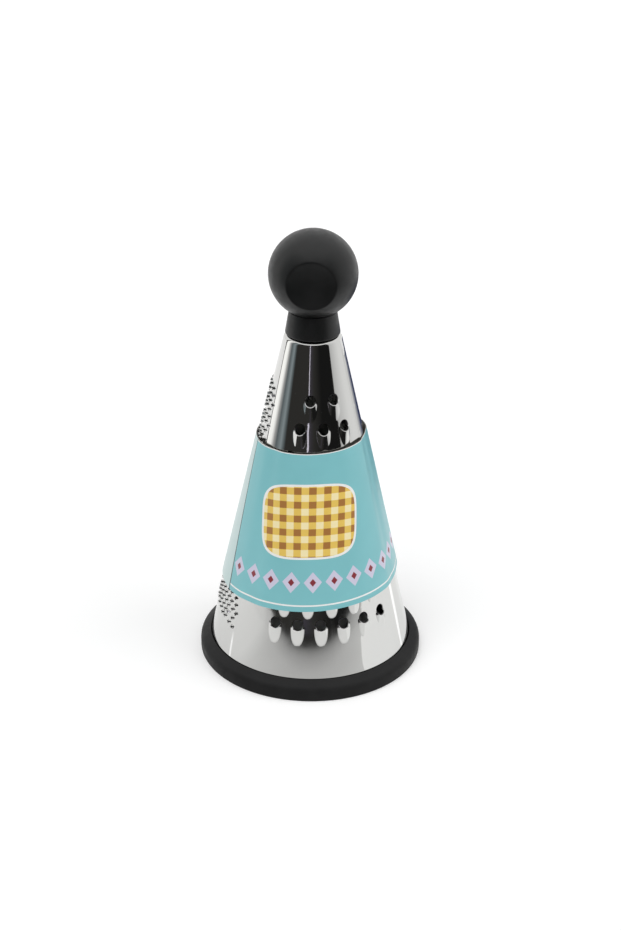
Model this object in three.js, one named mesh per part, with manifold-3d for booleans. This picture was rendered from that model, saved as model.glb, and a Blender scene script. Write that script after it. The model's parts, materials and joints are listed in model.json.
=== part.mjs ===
// Cone grater: a punched steel cone on a rubber foot ring, with a ball knob on top and a card sleeve around it.
// Millimetres, +Z up. The origin is on the table, on the cone's axis. Azimuth runs from -Y towards +X,
// so the coarse teeth face -Y, the slicing slots follow at 120 degrees and the fine points at -120 degrees.

import * as THREE from "three";
import { mergeVertices } from "three/addons/utils/BufferGeometryUtils.js";
import Module from "manifold-3d";

const wasm = await Module();
wasm.setup();

// Clearances
const SEAT_GAP = 0.3; // between two pieces that seat on each other
const THROUGH = 0.6; // how far a cutter runs past the wall that it cuts
const SINK = 0.15; // how far a ramp starts under the sheet's surface
const ROOT_MARGIN = 0.1; // sheet left behind the root of a raised form
const PUNCH_REACH = 60; // a punch comes to a point this far out, so its sides are all but straight

// Facets
const CONE_STEPS = 40; // around the cone and the ring
const BALL_STEPS = 32; // around the knob and its collar
const SMALL_STEPS = 20; // around the screw and what it holds
const ARC_STEPS = 3; // along a fillet

// Steel cone
const SHEET = 0.5;
const CONE_HEIGHT = 173.1; // from the sheet's lower edge to the top of its shoulder
const CONE_FOOT_RADIUS = 53.3;
const CONE_TOP_RADIUS = 14; // where the slope would meet the shoulder's top
const SHOULDER_ROUND = 2.4;
const FLANGE_WIDTH = 2; // flat of the turned-in shoulder, around the cone's mouth

// Rubber foot ring
const RING_HEIGHT = 10.1;
const RING_RIM_WIDTH = 5.8; // outside the sheet, at the ring's top
const RING_RIM_FALL = 3.2; // from the sheet to the ring's side
const RING_EDGE_ROUND = 1.6;
const RING_FOOT_ROUND = 0.8;
const RING_WEB = 2.7; // rubber under the sheet's lower edge
const RING_LIP_HEIGHT = 7;
const RING_LIP_WIDTH = 3;

// Knob
const BALL_RADIUS = 21.8;
const DISH_RADIUS = 12; // rim of each thumb dish
const DISH_DEPTH = 1.2; // below the flat of its rim
const DISH_AZIMUTHS = [-17, 163];
const GRIP_WALL = 3;
const GRIP_DISH_WALL = 1.7; // behind the middle of a dish
const STEM_WALL = 2.4; // of the core's stem, around the threaded insert
const STEM_DEPTH = 5; // how far the stem reaches into the collar
const COLLAR_HEIGHT = 11.7;
const COLLAR_OVERHANG = 1.6; // past the flat of the cone's shoulder
const COLLAR_TAPER = 1.9; // from its foot to its top, on the radius
const COLLAR_ROUND = 1;
const SPIGOT_LENGTH = 3.2; // the collar's plug, down through the cone's mouth

// Fasteners inside the cone's top
const SCREW_RADIUS = 2.5;
const SCREW_LENGTH = 23;
const HEAD_OVERHANG = 2.2;
const HEAD_HEIGHT = 3.2;
const HEAD_ROUND = 1.4;
const RECESS_WIDTH = 1.2; // one bar of the cross recess
const RECESS_SPAN = 5;
const RECESS_DEPTH = 1.6;
const INSERT_WALL = 1;
const INSERT_LENGTH = 12;
const CLAMP_WEB = 2;
const WASHER_WIDTH = 3.2;
const WASHER_THICKNESS = 1;
const LOCK_WIDTH = 1.8;
const LOCK_THICKNESS = 1.3;
const LOCK_SPLIT = 1;

// Coarse teeth
const COARSE_AZIMUTH = 0;
const COARSE_SPAN = 78; // degrees that the hole centres of a row may cover
const COARSE_SPACING = 11.6; // along a row
const COARSE_PITCH = 13.9; // between rows
const COARSE_LIFT = 26.7; // lowest hole centres above the ring
const COARSE_DROP = 28; // highest hole centres at least this far below the shoulder
const COARSE_RISE = 1.2;
const TONGUE_HOLE_RADIUS = 2.7;
const TONGUE_LENGTH = 10.2; // from the hole's centre to the tongue's tip
const TONGUE_HALF_WIDTH = 3.5;
const TONGUE_TIP_HALF_WIDTH = 1.9;
const TONGUE_BEVEL = 0.9; // from the tongue's side to its flat
const HOLE_SIDES = 8;

// Fine points
const FINE_AZIMUTH = -120;
const FINE_SPAN = 96;
const FINE_SPACING = 6.2;
const FINE_PITCH = 4.7;
const FINE_LIFT = 16.4;
const FINE_DROP = 19;
const FINE_RISE = 0.8;
const POINT_FOOT_RADIUS = 2.1;
const POINT_SIDES = 3;

// Slicing slots
const SLICER_AZIMUTH = 120;
const SLICER_SPAN = 62;
const SLICER_PITCH = 28;
const SLICER_LIFT = 28;
const SLICER_DROP = 34;
const SLICER_RISE = 1;
const BLADE_RAMP = 9;
const BLADE_OPENING = 3;
const BLADE_END = 5; // degrees over which a blade rises at each end
const BLADE_STEP = 9; // degrees between two sections of a blade

// Lapped seam of the sheet
const SEAM_AZIMUTH = 54;
const SEAM_SPAN = 8; // degrees that the lap stands proud
const SEAM_FADE = 10; // degrees over which the outer layer comes down again
const SEAM_STEP = 0.4;
const SEAM_MARGIN = 1.2; // the lap is pressed flat this far short of the ring and the shoulder

// Card sleeve
const CARD = 0.35;
const SLEEVE_LIFT = 34.9; // lower edge above the ring
const SLEEVE_LENGTH = 78;
const SLEEVE_EASE = 0.45; // between the card and the tips of the teeth
const SLEEVE_TILT = 2.6; // of its edges, in degrees
const SLEEVE_LOW_AZIMUTH = -104; // the side that has slipped down
const SLEEVE_SEAM_AZIMUTH = -82; // the outer end of the wrapped card
const SLEEVE_SEAM_SKEW = 7;
const SLEEVE_OVERLAP = 24; // degrees of glued lap
const SLEEVE_FADE = 12; // degrees over which the card goes from one stand-off to the next
const SLEEVE_GLUE = 0.15;
const SLEEVE_STEP = 6; // degrees between two sections of the card

const radians = THREE.MathUtils.degToRad;
const at = (r, z) => new THREE.Vector2(r, z);

// Heights and radii that follow from the driving dimensions
const coneFoot = RING_WEB + SEAT_GAP;
const coneTop = coneFoot + CONE_HEIGHT;
const coneAngle = Math.atan((CONE_FOOT_RADIUS - CONE_TOP_RADIUS) / CONE_HEIGHT);
const coneSlant = Math.cos(coneAngle);
const bendCentre = at(
  CONE_TOP_RADIUS - (SHOULDER_ROUND * (1 - Math.sin(coneAngle))) / coneSlant,
  coneTop - SHOULDER_ROUND,
);
const mouthRadius = bendCentre.x - FLANGE_WIDTH;
const rootDepth = SHEET - ROOT_MARGIN;
const collarFoot = coneTop + SEAT_GAP;
const collarFootRadius = bendCentre.x + COLLAR_OVERHANG;
const collarTopRadius = collarFootRadius - COLLAR_TAPER;
const collarTop = collarFoot + COLLAR_HEIGHT;
const cupRadius = BALL_RADIUS + SEAT_GAP;
const ballCentre = collarTop + Math.sqrt(cupRadius ** 2 - collarTopRadius ** 2);
const coreRadius = BALL_RADIUS - GRIP_WALL - SEAT_GAP;
const dishPlane = Math.sqrt(BALL_RADIUS ** 2 - DISH_RADIUS ** 2);
const coreFlat = dishPlane - DISH_DEPTH - GRIP_DISH_WALL - SEAT_GAP;
const screwHole = SCREW_RADIUS + SEAT_GAP;
const insertRadius = screwHole + INSERT_WALL;
const pocketRadius = insertRadius + SEAT_GAP;
const stemRadius = pocketRadius + STEM_WALL;
const socketRadius = stemRadius + SEAT_GAP;
const socketFloor = collarTop - STEM_DEPTH - SEAT_GAP;
const stemFoot = socketFloor + SEAT_GAP;
const spigotRadius = mouthRadius - SEAT_GAP;
const spigotFoot = collarFoot - SPIGOT_LENGTH;
const clampTop = coneTop - SHEET - SEAT_GAP;
const clampFloor = spigotFoot - SEAT_GAP;
const clampFoot = clampFloor - CLAMP_WEB;
const washerTop = clampFoot - SEAT_GAP;
const lockTop = washerTop - WASHER_THICKNESS - SEAT_GAP;
const headTop = lockTop - LOCK_THICKNESS - SEAT_GAP;
const screwTip = headTop + SCREW_LENGTH;
const insertFoot = stemFoot + SEAT_GAP;
const insertTop = insertFoot + INSERT_LENGTH;
const pocketTop = Math.max(insertTop, screwTip) + SEAT_GAP;
const sleeveBottom = RING_HEIGHT + SLEEVE_LIFT;
const sleeveTop = sleeveBottom + SLEEVE_LENGTH;

// Outside radius of the plain cone at a height, or of a surface at a depth measured square to the sheet.
function coneRadius(z, depth = 0) {
  return CONE_FOOT_RADIUS - (z - coneFoot) * Math.tan(coneAngle) - depth / coneSlant;
}

// A point at an azimuth in radians and a height on the cone, lifted square off its outside.
function onCone(azimuth, z, lift) {
  const r = coneRadius(z) + lift * coneSlant;
  return new THREE.Vector3(r * Math.sin(azimuth), -r * Math.cos(azimuth), z + lift * Math.sin(coneAngle));
}

// Points of an arc in a profile, from one angle to another in radians.
function arc(centre, radius, from, to, steps) {
  const count = Math.round(steps);
  return Array.from({ length: count + 1 }, (_, i) => {
    const angle = from + ((to - from) * i) / count;
    return at(centre.x + radius * Math.cos(angle), centre.y + radius * Math.sin(angle));
  });
}

// A geometry as a solid that can be joined and cut.
function solid(geometry) {
  const bare = geometry.clone();
  for (const name of Object.keys(bare.attributes)) {
    if (name !== "position") bare.deleteAttribute(name);
  }
  const merged = mergeVertices(bare);
  const corners = merged.index.array;
  const triVerts = [];
  for (let i = 0; i < corners.length; i += 3) {
    const [a, b, c] = corners.slice(i, i + 3);
    if (a !== b && b !== c && c !== a) triVerts.push(a, b, c);
  }
  return new wasm.Manifold(
    new wasm.Mesh({
      numProp: 3,
      vertProperties: merged.attributes.position.array,
      triVerts: new Uint32Array(triVerts),
    }),
  );
}

// Solid of revolution about Z. The profile of radius and height runs counter-clockwise,
// and it closes on itself or has both ends on the axis.
function revolve(profile, steps) {
  const outline = profile[0].x === 0 ? profile : [...profile, profile[0]];
  return solid(new THREE.LatheGeometry(outline, steps).rotateX(Math.PI / 2));
}

// Closed form through a row of rings with equal counts of points and convex ends.
function loft(rings) {
  const count = rings[0].length;
  const last = (rings.length - 1) * count;
  const index = [];
  for (let row = 0; row < last; row += count) {
    for (let i = 0; i < count; i++) {
      const a = row + i;
      const b = row + ((i + 1) % count);
      index.push(a, b, b + count, a, b + count, a + count);
    }
  }
  for (let i = 1; i < count - 1; i++) {
    index.push(0, i + 1, i, last, last + i, last + i + 1);
  }
  return new THREE.BufferGeometry().setFromPoints(rings.flat()).setIndex(index);
}

// Joins solids in pairs, so that no join is larger than it has to be.
function joinAll(solids) {
  if (solids.length === 1) return solids[0];
  const half = Math.ceil(solids.length / 2);
  return joinAll(solids.slice(0, half)).add(joinAll(solids.slice(half)));
}

const grater = new THREE.Group();

function addPiece(name, made, material) {
  const { vertProperties, triVerts } = made.getMesh();
  const geometry = new THREE.BufferGeometry();
  geometry.setAttribute("position", new THREE.BufferAttribute(vertProperties, 3));
  geometry.setIndex(new THREE.BufferAttribute(triVerts, 1));
  geometry.computeVertexNormals();
  const mesh = new THREE.Mesh(geometry, material);
  mesh.name = name;
  grater.add(mesh);
}

const polishedSteel = new THREE.MeshStandardMaterial({ color: 0xd2d3d4, roughness: 0.12, metalness: 1 });
const zincSteel = new THREE.MeshStandardMaterial({ color: 0xb4b6b8, roughness: 0.35, metalness: 1 });
const brass = new THREE.MeshStandardMaterial({ color: 0xb8924a, roughness: 0.35, metalness: 1 });
const softBlack = new THREE.MeshStandardMaterial({ color: 0x1e201f, roughness: 0.62, metalness: 0 });
const blackRubber = new THREE.MeshStandardMaterial({ color: 0x202221, roughness: 0.72, metalness: 0 });
const blackPlastic = new THREE.MeshStandardMaterial({ color: 0x191a1a, roughness: 0.5, metalness: 0 });
const tealCard = new THREE.MeshStandardMaterial({ color: 0x85c8ca, roughness: 0.4, metalness: 0 });

const coarseZone = { azimuth: COARSE_AZIMUTH, span: COARSE_SPAN, rise: COARSE_RISE };
const fineZone = { azimuth: FINE_AZIMUTH, span: FINE_SPAN, rise: FINE_RISE };
const slicerZone = { azimuth: SLICER_AZIMUTH, span: SLICER_SPAN, rise: SLICER_RISE };
const coarseRows = rowHeights(COARSE_LIFT, COARSE_DROP, COARSE_PITCH);
const fineRows = rowHeights(FINE_LIFT, FINE_DROP, FINE_PITCH);
const slicerRows = rowHeights(SLICER_LIFT, SLICER_DROP, SLICER_PITCH);

// Heights of a zone's rows, from the lowest up.
function rowHeights(lift, drop, pitch) {
  const lowest = RING_HEIGHT + lift;
  const highest = coneTop - drop;
  const count = Math.max(1, Math.floor((highest - lowest) / pitch) + 1);
  return Array.from({ length: count }, (_, i) => lowest + i * pitch);
}

// Places of a zone's teeth. Rows hold even and odd counts in turn, so they are staggered.
function teeth(zone, rows, spacing) {
  return rows.flatMap((z, row) => {
    const fits = Math.floor((radians(zone.span) * coneRadius(z)) / spacing) + 1;
    const count = Math.max(1, fits - ((fits + row) % 2));
    const step = spacing / coneRadius(z);
    const first = radians(zone.azimuth) - (step * (count - 1)) / 2;
    return Array.from({ length: count }, (_, i) => ({ azimuth: first + i * step, z }));
  });
}

// The sheet as rolled, with its shoulder turned in at the top.
function plainCone() {
  return revolve(
    [
      at(coneRadius(coneFoot, SHEET), coneFoot),
      at(CONE_FOOT_RADIUS, coneFoot),
      ...arc(bendCentre, SHOULDER_ROUND, coneAngle, Math.PI / 2, ARC_STEPS),
      at(mouthRadius, coneTop),
      at(mouthRadius, coneTop - SHEET),
      ...arc(bendCentre, SHOULDER_ROUND - SHEET, Math.PI / 2, coneAngle, ARC_STEPS),
    ],
    CONE_STEPS,
  );
}

// Sets a form on the sheet. In the form's own frame X runs across it, Y up the slope and Z off the sheet.
function place(form, tooth) {
  const foot = onCone(tooth.azimuth, tooth.z, 0);
  const outward = onCone(tooth.azimuth, tooth.z, 1).sub(foot);
  const across = new THREE.Vector3(Math.cos(tooth.azimuth), Math.sin(tooth.azimuth), 0);
  const frame = new THREE.Matrix4().makeBasis(across, outward.clone().cross(across), outward);
  return solid(form.clone().applyMatrix4(frame.setPosition(foot)));
}

// A pointed form on the sheet's normal, from its root to its apex.
function spike(radius, sides, root, apex) {
  const height = apex - root;
  const form = new THREE.ConeGeometry(radius, height, sides).rotateX(Math.PI / 2);
  return form.translate(0, 0, root + height / 2);
}

// A coarse tooth's tongue: a flat ramp with bevelled sides, pressed out around and below its hole.
function tongueForm() {
  const section = (y, side, rise) => {
    const flat = side - TONGUE_BEVEL;
    return [
      new THREE.Vector3(-side, y, -rootDepth),
      new THREE.Vector3(-side, y, -SINK),
      new THREE.Vector3(-flat, y, rise),
      new THREE.Vector3(flat, y, rise),
      new THREE.Vector3(side, y, -SINK),
      new THREE.Vector3(side, y, -rootDepth),
    ];
  };
  const tip = section(-TONGUE_LENGTH, TONGUE_TIP_HALF_WIDTH, -SINK);
  return loft([tip, section(0, TONGUE_HALF_WIDTH, COARSE_RISE)]);
}

// The hollow behind a tongue, one sheet below its ramp.
function tongueHollow() {
  const side = TONGUE_HALF_WIDTH - TONGUE_BEVEL;
  const tip = new THREE.Vector3(0, -TONGUE_LENGTH, -SHEET - SINK);
  const mouth = [
    new THREE.Vector3(-side, 0, -SHEET - THROUGH),
    new THREE.Vector3(-side, 0, COARSE_RISE - SHEET),
    new THREE.Vector3(side, 0, COARSE_RISE - SHEET),
    new THREE.Vector3(side, 0, -SHEET - THROUGH),
  ];
  return loft([mouth.map(() => tip), mouth]);
}

// A band across the slicing zone. Each section gives its corners, as steps up the slope and off the sheet.
function band(z, inset, section) {
  const half = SLICER_SPAN / 2 - inset;
  const count = Math.max(2, Math.ceil((2 * half) / BLADE_STEP));
  const rings = Array.from({ length: count + 1 }, (_, i) => {
    const fromMiddle = -half + (2 * half * i) / count;
    const azimuth = radians(SLICER_AZIMUTH + fromMiddle);
    const share = Math.min(1, (half - Math.abs(fromMiddle)) / BLADE_END);
    return section(share).map(([along, lift]) => onCone(azimuth, z + along * coneSlant, lift));
  });
  return solid(loft(rings));
}

// A slicing blade, a long ramp below its slot. At a depth of one sheet it is the hollow behind.
function blade(z, depth) {
  const root = depth ? -SHEET - THROUGH : -rootDepth;
  const edge = depth ? THROUGH : 0;
  return band(z, 0, (share) => [
    [-BLADE_RAMP, root],
    [edge, root],
    [edge, share * (SLICER_RISE + SINK) - SINK - depth],
    [-BLADE_RAMP, -SINK - depth],
  ]);
}

function slot(z) {
  return band(z, BLADE_END / 2, () => [
    [0, -SHEET - THROUGH],
    [BLADE_OPENING, -SHEET - THROUGH],
    [BLADE_OPENING, SLICER_RISE + THROUGH],
    [0, SLICER_RISE + THROUGH],
  ]);
}

// The outer layer of the sheet's lap: a step on one side, and a slow fall on the other.
function seam() {
  const low = RING_HEIGHT + SEAM_MARGIN;
  const high = bendCentre.y - SEAM_MARGIN;
  const ring = (azimuth, lift) => [
    onCone(radians(azimuth), low, -rootDepth),
    onCone(radians(azimuth), high, -rootDepth),
    onCone(radians(azimuth), high, lift),
    onCone(radians(azimuth), low, lift),
  ];
  const rings = [
    ring(SEAM_AZIMUTH, SEAM_STEP),
    ring(SEAM_AZIMUTH + SEAM_SPAN, SEAM_STEP),
    ring(SEAM_AZIMUTH + SEAM_SPAN + SEAM_FADE, -SINK),
  ];
  return solid(loft(rings));
}

function graterCone() {
  const coarse = teeth(coarseZone, coarseRows, COARSE_SPACING);
  const fine = teeth(fineZone, fineRows, FINE_SPACING);
  const inside = -SHEET - THROUGH;
  const tongue = tongueForm();
  const hollow = tongueHollow();
  const hole = spike(TONGUE_HOLE_RADIUS, HOLE_SIDES, inside, PUNCH_REACH);
  const point = spike(POINT_FOOT_RADIUS, POINT_SIDES, -rootDepth, FINE_RISE);
  const raised = [
    ...coarse.map((t) => place(tongue, t)),
    ...slicerRows.map((z) => blade(z, 0)),
    ...fine.map((t) => place(point, t)),
    seam(),
  ];
  const cut = [
    ...coarse.map((t) => place(hollow, t)),
    ...coarse.map((t) => place(hole, t)),
    ...slicerRows.map((z) => blade(z, SHEET)),
    ...slicerRows.map(slot),
  ];
  return plainCone().add(joinAll(raised)).subtract(joinAll(cut));
}

// The ring grips the sheet's lower edge in a groove, with a wide sloping rim outside and a low lip inside.
function footRing() {
  const outside = coneRadius(RING_HEIGHT) + RING_RIM_WIDTH;
  const grooveOut = (z) => coneRadius(z, -SEAT_GAP);
  const grooveIn = (z) => coneRadius(z, SHEET + SEAT_GAP);
  const inside = grooveIn(RING_LIP_HEIGHT) - RING_LIP_WIDTH;
  const slope = Math.atan2(RING_RIM_FALL, RING_RIM_WIDTH);
  const edge = at(outside - RING_EDGE_ROUND, RING_HEIGHT - RING_RIM_FALL - RING_EDGE_ROUND);
  const foot = at(outside - RING_FOOT_ROUND, RING_FOOT_ROUND);
  return revolve(
    [
      at(inside, 0),
      ...arc(foot, RING_FOOT_ROUND, -Math.PI / 2, 0, 2),
      ...arc(edge, RING_EDGE_ROUND, 0, Math.PI / 2 - slope, ARC_STEPS),
      at(grooveOut(RING_HEIGHT), RING_HEIGHT),
      at(grooveOut(RING_WEB), RING_WEB),
      at(grooveIn(RING_WEB), RING_WEB),
      at(grooveIn(RING_LIP_HEIGHT), RING_LIP_HEIGHT),
      at(inside, RING_LIP_HEIGHT),
    ],
    CONE_STEPS,
  );
}

// The collar plugs into the cone's mouth, cups the ball from below and takes the core's stem in a socket.
function neckCollar() {
  const lean = Math.atan2(collarFootRadius - collarTopRadius, COLLAR_HEIGHT);
  const round = at(collarFootRadius - COLLAR_ROUND, collarFoot + COLLAR_ROUND);
  const cup = arc(
    at(0, ballCentre),
    cupRadius,
    -Math.acos(collarTopRadius / cupRadius),
    -Math.acos(socketRadius / cupRadius),
    ARC_STEPS,
  );
  return revolve(
    [
      at(screwHole, spigotFoot),
      at(spigotRadius, spigotFoot),
      at(spigotRadius, collarFoot),
      ...arc(round, COLLAR_ROUND, -Math.PI / 2, lean, ARC_STEPS),
      ...cup,
      at(socketRadius, socketFloor),
      at(screwHole, socketFloor),
    ],
    BALL_STEPS,
  );
}

// The knob's rigid heart: a ball with a flat behind each dish, on a stem. Grown, it is the space around that.
function coreForm(grow, stemEnd) {
  const radius = coreRadius + grow;
  const stem = stemRadius + grow;
  const ball = arc(at(0, ballCentre), radius, -Math.acos(stem / radius), Math.PI / 2, BALL_STEPS / 4);
  ball[ball.length - 1] = at(0, ballCentre + radius);
  const form = revolve([at(0, stemEnd), at(stem, stemEnd), ...ball], SMALL_STEPS);
  const flats = DISH_AZIMUTHS.map((azimuth) => {
    const slab = new THREE.BoxGeometry(3 * radius, radius, 3 * radius);
    slab.translate(0, -coreFlat - grow - radius / 2, ballCentre);
    return solid(slab.rotateZ(radians(azimuth)));
  });
  return form.subtract(joinAll(flats));
}

function knobCore() {
  const pocket = revolve(
    [
      at(0, stemFoot - THROUGH),
      at(pocketRadius, stemFoot - THROUGH),
      at(pocketRadius, pocketTop),
      at(0, pocketTop),
    ],
    SMALL_STEPS,
  );
  return coreForm(0, stemFoot).subtract(pocket);
}

// The soft ball around the core, with two shallow dishes for finger and thumb.
function knobGrip() {
  const skin = arc(at(0, ballCentre), BALL_RADIUS, -Math.PI / 2, Math.PI / 2, BALL_STEPS / 2);
  skin[0] = at(0, ballCentre - BALL_RADIUS);
  skin[skin.length - 1] = at(0, ballCentre + BALL_RADIUS);
  const curve = (DISH_RADIUS ** 2 + DISH_DEPTH ** 2) / (2 * DISH_DEPTH);
  const reach = DISH_RADIUS + THROUGH;
  const lowest = -Math.PI / 2;
  const bowl = arc(at(0, curve - DISH_DEPTH), curve, lowest, lowest + Math.asin(reach / curve), ARC_STEPS);
  bowl[0] = at(0, -DISH_DEPTH);
  const clear = BALL_RADIUS - dishPlane + THROUGH;
  const lens = [...bowl, at(reach, clear), at(0, clear)];
  const dishes = DISH_AZIMUTHS.map((azimuth) => {
    const cutter = new THREE.LatheGeometry(lens, BALL_STEPS).rotateX(Math.PI);
    return solid(cutter.translate(0, -dishPlane, ballCentre).rotateZ(radians(azimuth)));
  });
  const space = coreForm(SEAT_GAP, ballCentre - BALL_RADIUS - THROUGH);
  return revolve(skin, BALL_STEPS).subtract(joinAll([space, ...dishes]));
}

// Cup-shaped plate under the cone's shoulder, which the screw pulls up against it.
function clampPlate() {
  const side = (z) => coneRadius(z, SHEET + SEAT_GAP);
  return revolve(
    [
      at(screwHole, clampFoot),
      at(side(bendCentre.y) - CLAMP_WEB, clampFoot),
      at(side(bendCentre.y), clampFoot + CLAMP_WEB),
      at(side(bendCentre.y), bendCentre.y),
      at(bendCentre.x, clampTop),
      at(mouthRadius, clampTop),
      at(mouthRadius, clampFloor),
      at(screwHole, clampFloor),
    ],
    SMALL_STEPS,
  );
}

// A plain ring around the screw.
function plainRing(top, height, width) {
  const foot = top - height;
  const outside = screwHole + width;
  return revolve([at(screwHole, foot), at(outside, foot), at(outside, top), at(screwHole, top)], SMALL_STEPS);
}

function lockWasher() {
  const reach = screwHole + LOCK_WIDTH;
  const split = new THREE.BoxGeometry(LOCK_SPLIT, 2 * reach, 2 * LOCK_THICKNESS);
  split.translate(0, reach, lockTop - LOCK_THICKNESS / 2);
  return plainRing(lockTop, LOCK_THICKNESS, LOCK_WIDTH).subtract(solid(split));
}

function knobScrew() {
  const headFoot = headTop - HEAD_HEIGHT;
  const headRadius = SCREW_RADIUS + HEAD_OVERHANG;
  const round = at(headRadius - HEAD_ROUND, headFoot + HEAD_ROUND);
  const body = revolve(
    [
      at(0, headFoot),
      ...arc(round, HEAD_ROUND, -Math.PI / 2, 0, ARC_STEPS),
      at(headRadius, headTop),
      at(SCREW_RADIUS, headTop),
      at(SCREW_RADIUS, screwTip - SCREW_RADIUS / 2),
      at(SCREW_RADIUS / 2, screwTip),
      at(0, screwTip),
    ],
    SMALL_STEPS,
  );
  const bars = [0, Math.PI / 2].map((turn) => {
    const bar = new THREE.BoxGeometry(RECESS_SPAN, RECESS_WIDTH, 2 * RECESS_DEPTH);
    return solid(bar.rotateZ(turn).translate(0, 0, headFoot));
  });
  return body.subtract(joinAll(bars));
}

// How far the card stands off the plain cone: it rides on the tips of each zone and sinks between them.
function standOff(azimuth) {
  const low = SEAM_STEP + SEAT_GAP;
  const lifts = [coarseZone, fineZone, slicerZone].map((zone) => {
    const away = Math.abs(THREE.MathUtils.euclideanModulo(azimuth - zone.azimuth + 180, 360) - 180);
    const edge = zone.span / 2 + SLEEVE_FADE / 2;
    const near = 1 - THREE.MathUtils.smoothstep(away, edge, edge + SLEEVE_FADE);
    return near * (zone.rise + SLEEVE_EASE - low);
  });
  return low + Math.max(...lifts);
}

// The card is one strip wrapped around the cone, with its outer end glued over its inner end.
function cardSleeve() {
  const around = Math.round(360 / SLEEVE_STEP);
  const step = 360 / around;
  const count = around + Math.ceil(SLEEVE_OVERLAP / step);
  const overlap = count * step - 360;
  const corner = (azimuth, z, lift) => {
    const lean = Math.tan(radians(SLEEVE_TILT)) * Math.cos(radians(azimuth - SLEEVE_LOW_AZIMUTH));
    return onCone(radians(azimuth), z - lean * coneRadius(z), standOff(azimuth) + lift);
  };
  const rings = Array.from({ length: count + 1 }, (_, i) => {
    const turned = i * step;
    const lapped = 1 - THREE.MathUtils.smoothstep(turned, overlap, overlap + SLEEVE_FADE);
    const lift = lapped * (CARD + SLEEVE_GLUE);
    const low = SLEEVE_SEAM_AZIMUTH + turned + SLEEVE_SEAM_SKEW / 2;
    const high = low - SLEEVE_SEAM_SKEW;
    return [
      corner(low, sleeveBottom, lift),
      corner(high, sleeveTop, lift),
      corner(high, sleeveTop, lift + CARD),
      corner(low, sleeveBottom, lift + CARD),
    ];
  });
  return solid(loft(rings));
}

addPiece("grater_cone", graterCone(), polishedSteel);
addPiece("base_ring", footRing(), blackRubber);
addPiece("neck_collar", neckCollar(), softBlack);
addPiece("knob_core", knobCore(), blackPlastic);
addPiece("knob_grip", knobGrip(), softBlack);
addPiece("knob_insert", plainRing(insertTop, INSERT_LENGTH, INSERT_WALL), brass);
addPiece("clamp_plate", clampPlate(), blackPlastic);
addPiece("flat_washer", plainRing(washerTop, WASHER_THICKNESS, WASHER_WIDTH), zincSteel);
addPiece("lock_washer", lockWasher(), zincSteel);
addPiece("knob_screw", knobScrew(), zincSteel);
addPiece("card_sleeve", cardSleeve(), tealCard);

export default grater;
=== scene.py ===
# %% [markdown]
# # A cone grater
# A sheet of polished steel is punched with three kinds of teeth and rolled into a cone. It stands on a
# rubber ring, a soft black ball is screwed to its top, and a printed card is wrapped around its middle. The
# solids of the frame say where everything is. This file makes the surfaces that a photograph shows.

# %% Load the frame
import json
from bisect import bisect_left
from math import acos, asin, atan2, cos, degrees, exp, hypot, pi, radians, sin, sqrt, tan, tau

import bmesh
import bpy
from bmesh.types import BMEdge, BMVert
from bpy.types import NodeSocket
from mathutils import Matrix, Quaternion, Vector, noise


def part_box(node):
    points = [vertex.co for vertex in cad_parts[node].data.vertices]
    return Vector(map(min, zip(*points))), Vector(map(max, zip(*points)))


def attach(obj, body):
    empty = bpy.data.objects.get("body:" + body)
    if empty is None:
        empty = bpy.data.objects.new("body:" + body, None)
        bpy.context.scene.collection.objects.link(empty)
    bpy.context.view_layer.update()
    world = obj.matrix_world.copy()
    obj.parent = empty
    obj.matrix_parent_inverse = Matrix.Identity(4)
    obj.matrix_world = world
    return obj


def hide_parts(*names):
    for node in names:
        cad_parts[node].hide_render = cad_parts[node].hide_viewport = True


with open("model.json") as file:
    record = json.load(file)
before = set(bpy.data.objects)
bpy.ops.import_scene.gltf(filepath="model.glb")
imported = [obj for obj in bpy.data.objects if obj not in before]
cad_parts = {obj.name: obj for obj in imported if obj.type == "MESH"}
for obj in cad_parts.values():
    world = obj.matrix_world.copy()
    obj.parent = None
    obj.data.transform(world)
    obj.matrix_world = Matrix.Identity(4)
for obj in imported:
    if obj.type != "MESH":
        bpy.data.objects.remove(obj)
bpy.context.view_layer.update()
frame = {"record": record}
MM = 0.001

# %% [markdown]
# ## The camera
# The lens and the place of the camera were worked out from the outlines in the photograph. Azimuths are
# counted from the coarse teeth, at -Y, towards +X.

# %% Camera
CAMERA_AZIMUTH = radians(-14)
CAMERA_ELEVATION = radians(26.34)
CAMERA_DISTANCE = 930.8 * MM
CAMERA_ROLL = radians(0.47)
CAMERA_LENS = 71.33  # mm, for a sensor whose long side is 36 mm
AIM_HEIGHT = 103.9 * MM
AIM_ASIDE = -0.56 * MM


def around(azimuth, radius, height):
    """A point at an azimuth and a distance from the grater's axis."""
    return Vector((radius * sin(azimuth), -radius * cos(azimuth), height))


to_camera = around(CAMERA_AZIMUTH, cos(CAMERA_ELEVATION), sin(CAMERA_ELEVATION))
aim = around(CAMERA_AZIMUTH + pi / 2, AIM_ASIDE, AIM_HEIGHT)
camera = bpy.data.objects.new("camera", bpy.data.cameras.new("camera"))
camera.data.lens = CAMERA_LENS
camera.location = aim + to_camera * CAMERA_DISTANCE
facing = (-to_camera).to_track_quat("-Z", "Y") @ Quaternion((0, 0, 1), CAMERA_ROLL)
camera.rotation_euler = facing.to_euler()
scene = bpy.context.scene
scene.collection.objects.link(camera)
scene.camera = camera
scene.view_settings.view_transform = "Standard"
print("camera at", [round(c / MM) for c in camera.location], "mm")

# %% [markdown]
# ## Nodes
# Every material is a tree of nodes. These helpers add a node, set its inputs or join them to other nodes,
# and work out sums with Math nodes.

# %% Helpers for nodes
SIGNS = {"+": "ADD", "-": "SUBTRACT", "*": "MULTIPLY", "/": "DIVIDE", "<": "LESS_THAN", ">": "GREATER_THAN"}


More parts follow.
